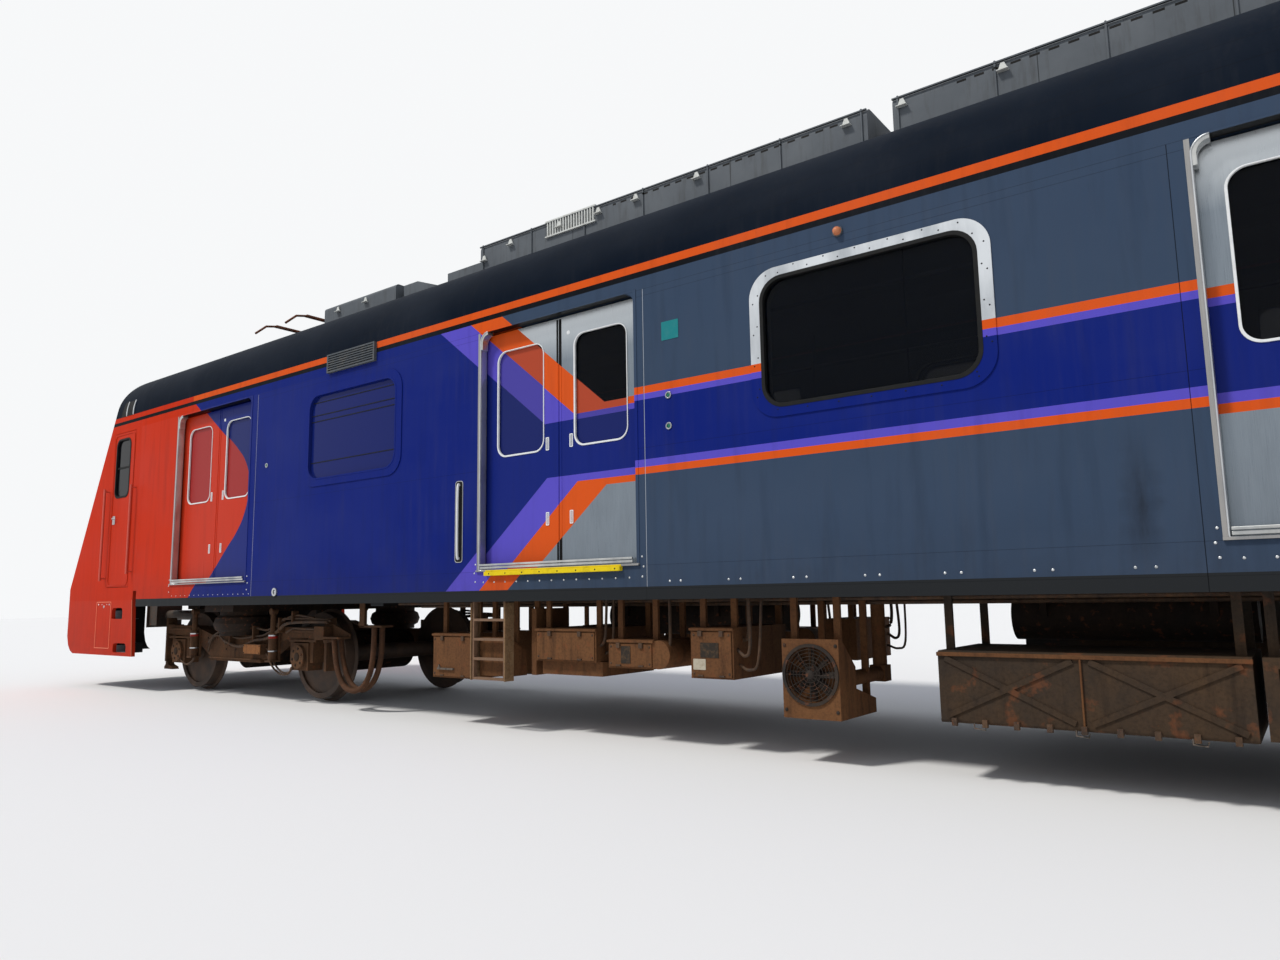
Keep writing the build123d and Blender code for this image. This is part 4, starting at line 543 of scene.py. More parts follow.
# name, colour, colour of the dust, scale, share of dust, roughness, metal
IRONS = {
    "bogie": ("bogie_iron", (70, 49, 34), (104, 74, 50)),
    "gear": ("bogie_gear", (36, 30, 27), (66, 50, 38), 4, 0.5),
    "coupler": ("coupler_iron", (62, 56, 52), (96, 84, 72), 4, 0.5, 0.55, 0.4),
    "case": ("case_dust", (92, 60, 37), (114, 78, 49), 2.2, 0.7),
    "dark_case": ("case_dark", (38, 36, 34), (80, 60, 41), 1.3, 0.85),
    "fan": ("fan_steel", (40, 36, 34), (74, 62, 52), 4, 0.5, 0.6),
    "panto": ("pantograph_steel", (92, 74, 62), (124, 92, 70), 9, 0.5, 0.6),
    "copper": ("collector", (112, 66, 44), (74, 44, 32), 8, 0.6, 0.5, 0.3),
    "rust_pipe": ("pipe_rust", (66, 54, 46), (104, 78, 56), 12, 0.6, 0.6),
    "damper": ("damper_grey", (92, 90, 86), (112, 88, 66), 9, 0.5, 0.5),
    "orange_box": ("junction_paint", (132, 84, 44), (118, 84, 56), 8, 0.5, 0.6),
    "ladder": ("ladder_plate", (124, 96, 68), (146, 120, 90), 9),
    "hose": ("hose_cover", (84, 56, 38), (58, 42, 32), 7, 0.6, 0.7),
}
MATS = {
    "side": painted("side_paint", inner=(1.40, WALL_INNER)),
    "roof": painted("roof_paint", 0.45, inner=(0.0, WALL_INNER), rough=0.5, spec=0.03),
    "front": painted("front_paint", 0.30, inner=(1.0, srgb(38, 38, 38)), hollow_shade=True),
    "cab_door": painted("cab_door_paint", 0.30, inner=(1.44, srgb(58, 60, 62))),
    "mask": painted("mask_paint", 0.30, black_front=True, rough=0.45, spec=0.03),
    # the underframe's inner faces are near-black: partly its dark paint, partly painted shade under the car
    "under": painted("underframe_paint", 0.6, inner=(1.485, srgb(26, 24, 23)), sole=True),
    "door": door_material(),
    "frame": frame_material(),
    "glass": glass_material(),
    "roof_unit": roof_unit_material(),
    "wheel": wheel_material(),
    "lamp": lamp_material(),
    "rails": rails_material(),
    "post": post_material(),
    "meeting": edge_material(),
    "ceiling": plastic("ceiling_panel", (222, 222, 214)),
    "inner": plastic("inner_panel", (200, 200, 190)),
    "seat": plastic("seat_shell", (176, 174, 164), 0.4),
    "desk": plastic("desk_plastic", (46, 48, 50), 0.6),
    "end": metal_mat("end_steel", (146, 150, 152), 0.35, 0.8, 0.5),
    "pole": metal_mat("pole_steel", (190, 192, 192), 0.18),
    "channel": metal_mat("door_channel", (196, 196, 192), 0.22, 0.85, 0.3),
    "steel": metal_mat("bright_steel", (200, 202, 204), 0.25),
}
MATS.update({key: simple_paint(*row) for key, row in PAINTS.items()})
MATS.update({key: dusty(*row) for key, row in IRONS.items()})
# start of the node's name and its material
NODE_MATS = (
    ("leaf_", "door"), ("wheelset", "wheel"), ("bogie_frame", "bogie"), ("bogie_gear", "gear"),
    ("side_panels", "side"), ("roof_shell", "roof"), ("cab_mask", "mask"), ("apron", "front"),
    ("cab_door", "cab_door"), ("underframe", "under"), ("window_frames", "frame"), ("glazing", "glass"),
    ("roof_units", "roof_unit"), ("ceiling", "ceiling"), ("rear_end_wall", "end"), ("end_door", "end"),
    ("cab_bulkhead", "inner"), ("bulkhead_door", "inner"), ("doorway_frames", "post"),
    ("side_vents", "vent"), ("pantograph_head", "copper"), ("pantograph", "panto"),
    ("brake_cases", "case"), ("fan_case", "case"), ("converter_case", "dark_case"),
    ("resistor_cases", "dark_case"), ("fan_wheel", "fan"), ("air_tanks", "gear"), ("bolsters", "gear"),
    ("seats", "seat"), ("poles", "pole"), ("cab_desk", "desk"), ("headlamps", "lamp"),
    ("ladders_and_rails", "rails"), ("coupler", "coupler"),
)
for name, obj in NODES.items():
    key = next(mat for start, mat in NODE_MATS if name.startswith(start))
    for s in obj.material_slots:
        s.material = MATS[key]


# ---------------------------------------------------------------- mesh helpers
def angles(n):
    return [2 * math.pi * i / n for i in range(n)]


def circle(cx, cz, r, n):
    return [(cx + r * math.cos(a), cz + r * math.sin(a)) for a in angles(n)]


def corner(cx, cz, sx, sz, r, n):
    """Quarter circle that rounds the corner at (cx, cz); sx and sz point into the opening."""
    quarter = [math.pi / 2 * i / n for i in range(n + 1)]
    return [(cx + sx * (r - r * math.cos(a)), cz + sz * (r - r * math.sin(a))) for a in quarter]


def rounded(x0, x1, z0, z1, r, n=8, grow=0.0):
    """Points round a rectangle with round corners, drawn out by grow on each side."""
    x0, x1, z0, z1 = x0 - grow, x1 + grow, z0 - grow, z1 + grow
    pts = []
    for cx, cz, a0 in ((x1 - r, z1 - r, 0), (x0 + r, z1 - r, 90), (x0 + r, z0 + r, 180), (x1 - r, z0 + r, 270)):
        for i in range(n + 1):
            a = math.radians(a0 + 90 * i / n)
            pts.append((cx + r * math.cos(a), cz + r * math.sin(a)))
    return pts


def curve_points(pts, steps):
    """Points along a smooth curve through the given ones."""
    ext = [pts[0] * 2 - pts[1]] + pts + [pts[-1] * 2 - pts[-2]]
    out = []
    for i in range(1, len(ext) - 2):
        p0, p1, p2, p3 = ext[i - 1: i + 3]
        for k in range(steps):
            s = k / steps
            square, cube = 2 * p0 - 5 * p1 + 4 * p2 - p3, 3 * p1 - p0 - 3 * p2 + p3
            out.append(0.5 * ((2 * p1) + (p2 - p0) * s + square * s * s + cube * s ** 3))
    out.append(pts[-1])
    return out


class Shape:
    """A bench for one piece at a time: y counts outwards on its side of the car, z up from the rail."""

    def __init__(self, sgn=1, along=None):
        self.bm = bmesh.new()
        self.sgn = sgn
        self.along = along  # places an x of the front bogie on either bogie

    def at(self, p):
        x, y, z = p
        return (self.along(x) if self.along else x, self.sgn * y, z + RAIL)

    def verts(self, points):
        return [self.bm.verts.new(self.at(p)) for p in points]

    def hoop(self, c, u, v, r, n):
        return [self.bm.verts.new(c + (u * math.cos(a) + v * math.sin(a)) * r) for a in angles(n)]

    def skin(self, rows, ends=False):
        """Faces round between closed rows of vertices, and over both ends."""
        n = len(rows[0])
        for a, b in zip(rows, rows[1:]):
            for i in range(n):
                self.bm.faces.new((a[i], a[(i + 1) % n], b[(i + 1) % n], b[i]))
        if ends:
            self.bm.faces.new(rows[0][::-1])
            self.bm.faces.new(rows[-1])

    def box(self, x0, x1, y0, y1, z0, z1):
        vs = self.verts([(x, y, z) for x in (x0, x1) for y in (y0, y1) for z in (z0, z1)])
        for q in ((0, 1, 3, 2), (4, 6, 7, 5), (0, 4, 5, 1), (2, 3, 7, 6), (0, 2, 6, 4), (1, 5, 7, 3)):
            self.bm.faces.new([vs[i] for i in q])

    def prism(self, outline, y0, y1):
        """Closed outline of (x, z) points drawn out from y0 to y1."""
        self.skin([self.verts([(x, y, z) for x, z in outline]) for y in (y0, y1)], ends=True)

    def ring(self, outer, inner, y0, y1):
        """Flat ring between two matching outlines, from y0 (out) to y1."""
        sections = ((outer, y1), (outer, y0), (inner, y0), (inner, y1))
        rows = [self.verts([(x, y, z) for x, z in pts]) for pts, y in sections]
        self.skin(rows + rows[:1])

    def rod(self, a, b, r, n):
        """Round bar between two points."""
        a, b = Vector(self.at(a)), Vector(self.at(b))
        d = (b - a).normalized()
        u = d.orthogonal().normalized()
        v = d.cross(u)
        self.skin([self.hoop(p, u, v, r, n) for p in (a, b)], ends=True)

    def pipe(self, pts, r, n, smooth=0):
        """Bent pipe through points, mitred at each; smooth is the steps of a curve between them."""
        pts = [Vector(self.at(p)) for p in pts]
        pts = curve_points(pts, smooth) if smooth else pts
        rows = []
        up = Vector((0.31, 0.17, 0.93))
        for i, p in enumerate(pts):
            d0 = (p - pts[i - 1]).normalized() if i else (pts[1] - p).normalized()
            d1 = (pts[i + 1] - p).normalized() if i < len(pts) - 1 else d0
            d = (d0 + d1).normalized()
            u = (up - d * up.dot(d)).normalized()
            rows.append(self.hoop(p, u, d.cross(u), r, n))
        self.skin(rows, ends=True)

    def dome(self, centre, r, h, n=8, axis=(0, 1, 0)):
        """Low rivet head on a surface; axis points out of it."""
        c, ax = Vector(self.at(centre)), Vector((axis[0], self.sgn * axis[1], axis[2])).normalized()
        u = ax.orthogonal().normalized()
        v = ax.cross(u)
        rows = [self.hoop(c + ax * (h * k), u, v, r * s, n) for s, k in ((1, 0), (0.86, 0.55), (0.5, 0.9))]
        self.skin(rows)
        top = self.bm.verts.new(c + ax * h)
        for i in range(n):
            self.bm.faces.new((rows[-1][i], rows[-1][(i + 1) % n], top))

    def finish(self, name, mat, slot, body=BODY, smooth=False, bevel=0.0):
        """Make the piece, let it ride on a body and start the next one empty."""
        me = bpy.data.meshes.new(name)
        bmesh.ops.recalc_face_normals(self.bm, faces=self.bm.faces)
        self.bm.to_mesh(me)
        self.bm.clear()
        ob = bpy.data.objects.new(name, me)
        bpy.context.scene.collection.objects.link(ob)
        me.materials.append(MATS[mat])
        if smooth:
            for f in me.polygons:
                f.use_smooth = True
        if bevel:
            mod = ob.modifiers.new("bevel", "BEVEL")
            mod.width = bevel
            mod.segments = 2
            mod.limit_method = "ANGLE"
        if body:
            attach(ob, body)
        return ob


# ---------------------------------------------------------------- door leaves
for side, sgn in SIDES:
    for k, c in enumerate(DOORWAYS):
        for hand, end in ((-1, "front"), (1, "rear")):
            leaf = "leaf_%s_%d_%s" % (side, k + 1, end)
            lo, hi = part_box(leaf)
            face = max(abs(lo.y), abs(hi.y))
            cx = c + hand * PANE_MID
            s = Shape(sgn)
            # painted highlight: the polished ring round each pane is drawn white, wider on the left and bottom
            # where it catches the light and narrower on the right and top
            s.ring(rounded(cx - 0.268, cx + 0.262, PANE_LOW - 0.013, PANE_TOP + 0.007, 0.1),
                   rounded(cx - 0.254, cx + 0.254, PANE_LOW + 0.001, PANE_TOP - 0.001, 0.09),
                   face + 0.006, face - 0.012)
            s.finish(leaf + "_seal", "white", "door_steel", leaf, bevel=0.002)
            hx = c + hand * 0.125
            for zc in (2.228, 1.635):
                s.ring(rounded(hx - 0.017, hx + 0.017, zc - 0.052, zc + 0.052, 0.006, 3),
                       rounded(hx - 0.010, hx + 0.010, zc - 0.044, zc + 0.044, 0.004, 3),
                       face + 0.004, face - 0.002)
                s.rod((hx, face + 0.003, zc - 0.04), (hx, face + 0.003, zc + 0.04), 0.004, 8)
            if hand > 0:
                s.dome((c + 0.10, face, 3.09), 0.018, 0.005, 12)
            s.finish(leaf + "_handles", "white", "door_steel", leaf)
            ex = c + hand * 0.006
            s.box(ex - 0.003, ex + hand * 0.02, face + 0.003, face - 0.030, lo.z + 0.01 - RAIL, hi.z - 0.01 - RAIL)
            s.finish(leaf + "_edge_rubber", "meeting", "door_steel", leaf, bevel=0.002)

# Doorway trim: rounded upper corners in the skin, bright edge, post cap, sill bar, rivets
for side, sgn in SIDES:
    for k, c in enumerate(DOORWAYS):
        tag = "_%s_%d" % (side, k + 1)
        x0, x1 = c - HALF_DOORWAY, c + HALF_DOORWAY
        z_low, z_top, r = DOORWAY_LOW, DOORWAY_TOP, DOORWAY_R
        s = Shape(sgn)
        for cx, way in ((x0, 1), (x1, -1)):
            s.prism([(cx, z_top)] + corner(cx, z_top, way, -1, r, 8), 1.502, 1.4275)
        s.finish("door_corners" + tag, "side", "side_paint")
        bend = corner(x0 + 0.001, z_top, 1, -1, r, 8)
        pts = [(x0 + 0.16, z_low - 0.002), (x0 + 0.006, z_low - 0.002), (x0 + 0.001, z_low + 0.004)] + bend
        s.pipe([(px, 1.503, pz) for px, pz in pts], 0.0055, 8)
        s.finish("door_edge" + tag, "steel", "frame_aluminium", smooth=True)
        s.box(x0 + 0.0015, x0 + 0.006, 1.498, 1.436, z_low + 0.01, z_top - r - 0.02)
        inner = corner(x0 + 0.026, z_top - 0.025, 1, -1, r - 0.025, 8)
        cap_low = z_top - r - 0.06
        s.prism([(x0 + 0.001, cap_low)] + bend + inner[::-1] + [(x0 + 0.026, cap_low)], 1.5035, 1.440)
        s.finish("door_post_cap" + tag, "channel", "frame_aluminium", bevel=0.002)
        s.box(x0 + 0.012, x1 - 0.035, 1.502, 1.5155, 1.286, 1.302)
        s.box(x0 + 0.012, x1 - 0.035, 1.500, 1.5085, 1.262, 1.282)
        s.finish("sill_bar" + tag, "channel", "frame_aluminium", bevel=0.003)
        if k == 1:  # the only doorway with a yellow step strip
            s = Shape(sgn)
            s.box(x0 + 0.09, x1 - 0.13, 1.499, 1.536, 1.206, 1.238)
            s.box(x0 + 0.09, x1 - 0.13, 1.499, 1.520, 1.238, 1.252)
            s.finish("step_strip_" + side, "yellow", "rail_paint", bevel=0.003)
            for i in range(8):
                s.dome((x0 + 0.15 + i * 0.185, 1.5355, 1.222), 0.007, 0.002)
            s.finish("step_screws_" + side, "black", "rail_paint", smooth=True)
        s = Shape(sgn)
        for i in range(13 if k else 0):
            s.dome((x0 + 0.05 + i * 0.125, SKIN, 1.155), 0.008, 0.004)
        for i in range(3):
            for px, way in ((x1, 1), (x0, -1)):
                s.dome((px + way * (0.045 + 0.012 * (i % 2)), SKIN, 1.16 + 0.07 * i), 0.008, 0.004)
        s.finish("sill_rivets" + tag, "steel", "frame_aluminium", smooth=True)

# ---------------------------------------------------------------- side rivets, window trim, fittings
for side, sgn in SIDES:
    s = Shape(sgn)
    for i in range(25):
        x = -0.85 + 0.47 * i
        if not any(abs(x - c) < 1.0 for c in DOORWAYS):
            for dx in (0.0, 0.09):
                s.dome((x + dx, SKIN, 1.125), 0.0085, 0.004)
    for i in range(17):
        s.dome((-7.95 + 0.105 * i, SKIN, 1.115), 0.006, 0.003, 6)
    s.finish("side_rivets_" + side, "steel", "frame_aluminium", smooth=True)
    seal, covered, screws = Shape(sgn), Shape(sgn), Shape(sgn)
    for w, c in enumerate(WINDOWS):
        hole = (c - HALF_WINDOW, c + HALF_WINDOW, WINDOW_LOW, WINDOW_TOP)
        if w == 0:
            covered.ring(rounded(*hole, 0.152, grow=0.004), rounded(*hole, 0.138, grow=-0.012), 1.5105, 1.474)
            continue
        seal.ring(rounded(*hole, 0.158, grow=0.010), rounded(*hole, 0.136, grow=-0.016), 1.5105, 1.474)
        for off, run in ((0.030, 0.12), (0.058, 0.05)):
            path = rounded(*hole, 0.15 + off, 4, off)
            for (ax, az), (bx, bz) in zip(path, path[1:] + path[:1]):
                d = math.hypot(bx - ax, bz - az)
                while run < d:
                    px, pz = ax + (bx - ax) * run / d, az + (bz - az) * run / d
                    if pz > 2.17:
                        screws.dome((px, 1.508, pz), 0.0055, 0.002, 6)
                    run += 0.21
                run -= d
    seal.finish("window_seals_" + side, "black", "frame_aluminium", bevel=0.002)
    covered.finish("first_window_seal_" + side, "side", "frame_aluminium", bevel=0.002)
    screws.finish("window_screws_" + side, "black", "frame_aluminium", smooth=True)
    s = Shape(sgn)
    for z in (2.99, 2.86, 2.80, 2.385):
        s.box(WINDOWS[0] - 0.685, WINDOWS[0] + 0.685, 1.4795, 1.484, z, z + 0.007)
    s.finish("first_window_bars_" + side, "black", "side_paint")
    for c in WINDOWS[1:]:
        s.box(c + 0.255, c + 0.262, 1.4705, 1.462, 2.22, 3.07)
    s.finish("window_bars_" + side, "black", "frame_aluminium")
    # ports, socket and marker lamp
    s, rims = Shape(sgn), Shape(sgn)
    for px, pz, r in ((-6.01, 2.45, 0.024), (-0.83, 2.42, 0.026), (-0.83, 2.20, 0.026)):
        s.dome((px, SKIN, pz), r * 0.62, 0.006, 12)
        rims.ring(circle(px, pz, r, 20), circle(px, pz, r * 0.62, 20), 1.507, 1.4995)
    s.finish("port_caps_" + side, "green", "vent_paint", smooth=True)
    r, px, pz = 0.042, -5.76, 1.126
    rims.ring(circle(px, pz, r, 20), circle(px, pz, r * 0.55, 20), 1.516, 1.4995)
    rims.dome((px, SKIN, pz), 0.02, 0.01, 10)
    rims.finish("port_rims_" + side, "steel", "frame_aluminium", bevel=0.001)
    s = Shape(sgn)
    s.rod((0.49, SKIN, 3.262), (0.49, 1.512, 3.262), 0.034, 16)
    s.finish("marker_base_" + side, "vent", "vent_paint", bevel=0.002)
    s.dome((0.49, 1.512, 3.262), 0.028, 0.034, 14)
    s.finish("marker_lamp_" + side, "amber", "lamp_glass", smooth=True)
    s.prism(rounded(-0.88, -0.735, 2.82, 2.955, 0.004, 2), 1.5025, 1.4995)
    s.finish("side_plate_" + side, "teal", "vent_paint")
    # grab handle in its recess ahead of the second doorway
    gx = -2.998
    recess = (gx - 0.042, gx + 0.042, 1.33, 2.004)
    s = Shape(sgn)
    s.ring(rounded(*recess, 0.026, 4, 0.005), rounded(*recess, 0.022, 4), 1.504, 1.499)
    s.finish("handle_recess_rim_" + side, "channel", "side_paint", bevel=0.001)
    # painted shade: a black plate flush with the skin stands for the shade inside the handle recess
    s.prism(rounded(*recess, 0.022, 4), 1.5012, 1.4995)
    s.finish("handle_recess_" + side, "black", "side_paint")
    bar = ((SKIN, 1.36), (1.519, 1.385), (1.522, 1.66), (1.519, 1.95), (SKIN, 1.975))
    s.pipe([(gx, y, z) for y, z in bar], 0.011, 8, 5)
    s.finish("handle_bar_" + side, "white", "frame_aluminium", smooth=True)

# ---------------------------------------------------------------- cab doors
for side, sgn in SIDES:
    door = "cab_door_" + side
    x0, x1 = 1.306 - 11, 1.894 - 11
    outline = (x0 + 0.012, x1 - 0.012, 1.262, 3.21)
    pane = (1.375 - 11, 1.765 - 11, 2.39, 3.14)
    s = Shape(sgn)
    s.ring(rounded(*outline, 0.07, 6), rounded(*outline, 0.058, 6, -0.014), 1.506, 1.499)
    s.finish(door + "_rim", "front", "front_paint", door, bevel=0.002)
    s.ring(rounded(*pane, 0.098, 6, 0.012), rounded(*pane, 0.08, 6, -0.012), 1.505, 1.472)
    s.box(pane[0] + 0.005, pane[1] - 0.005, 1.481, 1.488, 2.76, 2.785)
    s.finish(door + "_window_rubber", "black", "front_paint", door, bevel=0.002)
    s.prism(rounded(*pane, 0.08, 6, -0.01), 1.4815, 1.4805)
    s.finish(door + "_pane", "cab_glass", "window_glass", door)
    hx, hz = x0 + 0.09, 2.10
    s.prism(rounded(hx - 0.035, hx + 0.035, hz - 0.055, hz + 0.055, 0.012, 4), 1.506, 1.499)
    s.rod((hx, 1.504, hz + 0.02), (hx, 1.530, hz + 0.02), 0.009, 10)
    grip = ((hx, 1.526, hz + 0.02), (hx + 0.05, 1.53, hz + 0.02), (hx + 0.10, 1.524, hz + 0.015))
    s.pipe(grip, 0.008, 8, 4)
    s.finish(door + "_handle", "steel", "frame_aluminium", door, bevel=0.001)

# Apron: hatch outline, step pans, rounded step openings with painted shade in them, and the bright rear edge
STEPS = ((-9.505, -9.205, 0.848, 0.985), (-9.42, -9.06, 0.437, 0.551))
HATCH = (-9.958, -9.535, 0.478, 1.064)
HATCH_SCREWS = ((-9.905, 1.028, 0.011), (-9.80, 1.03, 0.008), (-9.745, 1.0, 0.018), (-9.66, 1.03, 0.008),
                (-9.59, 1.028, 0.011))
EAVE_Y, EAVE_Z, EAVE_R = 0.91, 3.448, 0.593  # the curve between side and roof
for side, sgn in SIDES:
    s = Shape(sgn)
    s.ring(rounded(*HATCH, 0.012, 3), rounded(*HATCH, 0.008, 3, -0.008), 1.5025, 1.499)
    s.rod((-8.962, SKIN, 1.08), (-8.897, SKIN, 0.397), 0.004, 8)
    s.finish("apron_edges_" + side, "rim_light", "front_paint")
    for px, pz, pr in HATCH_SCREWS:
        s.dome((px, SKIN, pz), pr, 0.005, 10)
    s.finish("hatch_screws_" + side, "steel", "frame_aluminium", smooth=True)
    pans, shaded_wells, corners = Shape(sgn), Shape(sgn), Shape(sgn)
    for a0, a1, z0, z1 in STEPS:
        pans.box(a0 + 0.001, a1 - 0.001, 1.454, 1.30, z0 - 0.004, z0)
        pans.box(a0 - 0.004, a0, 1.454, 1.30, z0, z0 + (z1 - z0) * 0.75)
        pans.prism([(a0, z0), (a0 + 0.20, z0), (a0, z0 + 0.075)], 1.31, 1.302)
        # painted shade: black boxes at the back, top and far side of each step opening, where the pale pan lies in
        # shade
        shaded_wells.box(a0, a1, 1.301, 1.297, z0, z1)
        shaded_wells.box(a0, a1, 1.454, 1.30, z1, z1 + 0.004)
        shaded_wells.box(a1, a1 + 0.004, 1.454, 1.30, z0, z1)
        for cx, way in ((a0, 1), (a1, -1)):
            for cz, v, q in ((z1, -1, 0.05), (z0, 1, 0.02)):
                corners.prism([(cx, cz)] + corner(cx, cz, way, v, q, 6), 1.4998, 1.456)
    pans.finish("step_pans_" + side, "pan", "end_steel", bevel=0.001)
    shaded_wells.finish("step_wells_" + side, "black", "end_steel")
    corners.finish("step_corners_" + side, "front", "front_paint")
    # dark recess with pale edge strips at the front corner of the roof; the recess is a black sheet laid on the
    # roof as painted shade
    s = Shape(sgn)
    arc = [(math.cos(math.radians(a)), math.sin(math.radians(a))) for a in (-1, 3, 7, 11, 15, 18)]
    rows = []
    for ca, sa in arc:
        y, z = EAVE_Y + EAVE_R * ca, EAVE_Z + EAVE_R * sa
        rows.append(s.verts([(-9.56 + 0.3 * (z - 3.44), y, z), (-9.22, y, z)]))
    for p, q in zip(rows, rows[1:]):
        s.bm.faces.new((p[0], p[1], q[1], q[0]))
    s.finish("corner_recess_" + side, "black", "roof_paint", smooth=True)
    r = EAVE_R + 0.003
    for x0 in (-9.215, -9.40):
        s.pipe([(x0, EAVE_Y + r * ca, EAVE_Z + r * sa) for ca, sa in arc], 0.007, 6)
    s.finish("corner_strips_" + side, "white", "roof_paint", smooth=True)

# Wipers and lamp bezels follow the leaning front
LEAN = math.atan(0.5)
FRONT_UP = (math.sin(LEAN), 0, math.cos(LEAN))
FRONT_OUT = (-math.cos(LEAN), 0, math.sin(LEAN))


def on_front(y, z, out=0.0):
    """Point on the leaning front at height z over the rail; its wings fold back a little."""
    bow = 0.07 * max(0.0, abs(y) - 0.76) / 0.74
    x = -11.0 + bow + (z - 1.24) * 0.5
    return (x - out * math.cos(LEAN), y, z + out * math.sin(LEAN))


s = Shape()
for y0, y1 in ((-0.55, -0.12), (0.55, 0.12)):
    s.pipe([on_front(y0, 1.90, 0.012), on_front(y1, 2.55, 0.012)], 0.008, 8)
    s.pipe([on_front(y1 - 0.02, 2.20, 0.008), on_front(y1 + 0.02, 2.92, 0.008)], 0.006, 6)
    s.dome(on_front(y0, 1.90), 0.03, 0.02, 12, FRONT_OUT)
s.finish("wipers", "black", "front_paint")
for y in (-1.05, -0.82, 0.82, 1.05):
    c, out = Vector(s.at(on_front(y, 1.5))), Vector(FRONT_OUT)
    sections = ((0.108, 0.0), (0.106, 0.014), (0.092, 0.014), (0.09, 0.0))
    s.skin([s.hoop(c + out * h, Vector((0, 1, 0)), Vector(FRONT_UP), r, 28) for r, h in sections])
s.finish("lamp_bezels", "black", "front_paint", smooth=True)

# ---------------------------------------------------------------- roof equipment details
UNIT_SIDE, UNIT_TOP = 0.949, 4.335
LUGS = ((-5.7, 4.29), (-5.2, 4.29), (-3.30, 4.26), (-2.95, 4.33)) + tuple(
    (x, UNIT_TOP) for x in (-2.35, -1.9, -1.5, -0.9, 0.35, 0.75, 1.4, 2.9, 3.9))
s = Shape()
for x, top in LUGS:
    y, z = 0.955 if x > -3.5 else 0.905, top - 0.06
    for s.sgn in (-1, 1):
        s.prism([(x - 0.032, z - 0.024), (x + 0.032, z - 0.024), (x + 0.012, z + 0.026), (x - 0.012, z + 0.026)],
                y, y + 0.012)
        s.box(x - 0.036, x + 0.036, y - 0.004, y + 0.034, z - 0.030, z - 0.023)
s.finish("roof_lugs", "lug", "roof_unit_paint", bevel=0.002)
s.rod((-8.25, 0.0, 4.11), (-8.25, 0.0, 4.15), 0.022, 12)
s.rod((-8.25, 0.0, 4.15), (-8.25, 0.0, 4.40), 0.004, 6)
s.finish("whip_aerial", "black", "roof_unit_paint", bevel=0.001)
for s.sgn in (-1, 1):
    for i in range(18):
        x = -2.49 + i * 0.031
        s.box(x, x + 0.012, 0.951, 0.966, 4.20, 4.325)
    s.box(-2.51, -1.93, UNIT_SIDE, 0.970, 4.325, 4.338)
    s.box(-2.51, -1.93, UNIT_SIDE, 0.970, 4.188, 4.20)
s.finish("roof_grille", "lug", "roof_unit_paint")
for x0, x1 in ((-3.36, 0.5), (0.68, 4.55)):
    for s.sgn in (-1, 1):
        n = int((x1 - x0) / 0.64)
        for i in range(n + 1):
            x = x0 + 0.04 + i * (x1 - x0 - 0.08) / n
            s.box(x - 0.006, x + 0.006, UNIT_SIDE, 0.962, 4.04, UNIT_TOP)
        s.box(x0, x1, UNIT_SIDE, 0.964, UNIT_TOP - 0.02, UNIT_TOP - 0.008)
s.finish("roof_unit_ribs", "roof_unit", "roof_unit_paint", bevel=0.002)

# ---------------------------------------------------------------- under-floor details
CASE_Y = 1.35
CASES = ((-3.48, -2.96, 0.365, 0.737), (-2.25, -1.64, 0.540, 0.790), (-1.52, -1.11, 0.510, 0.715),
         (-0.79, -0.45, 0.465, 0.807))
LONG_CASE = (0.91, 2.40, 0.29, 0.69)
# radius and points (x, y, height) of the cable runs up from the cases
CONDUITS = (
    (0.011, ((-1.64, 1.30, 0.66), (-1.60, 1.30, 0.70), (-1.585, 1.30, 0.80), (-1.59, 1.28, 1.05))),
    (0.010, ((-1.64, 1.24, 0.60), (-1.57, 1.25, 0.64), (-1.545, 1.26, 0.78), (-1.55, 1.25, 1.05))),
    (0.012, ((-1.10, 1.30, 0.62), (-1.03, 1.31, 0.60), (-1.00, 1.30, 0.70), (-1.02, 1.27, 1.05))),
    (0.012, ((-0.45, 1.30, 0.66), (-0.38, 1.31, 0.62), (-0.345, 1.31, 0.70), (-0.36, 1.29, 1.05))),
    (0.014, ((-0.45, 1.22, 0.72), (-0.40, 1.24, 0.74), (-0.385, 1.25, 0.85), (-0.39, 1.24, 1.05))),
    (0.010, ((-0.45, 1.28, 0.56), (-0.36, 1.30, 0.53), (-0.29, 1.30, 0.60), (-0.27, 1.27, 1.05))),
    (0.02, ((-3.44, 1.20, 0.62), (-3.46, 1.22, 0.80), (-3.46, 1.22, 1.05))),
)
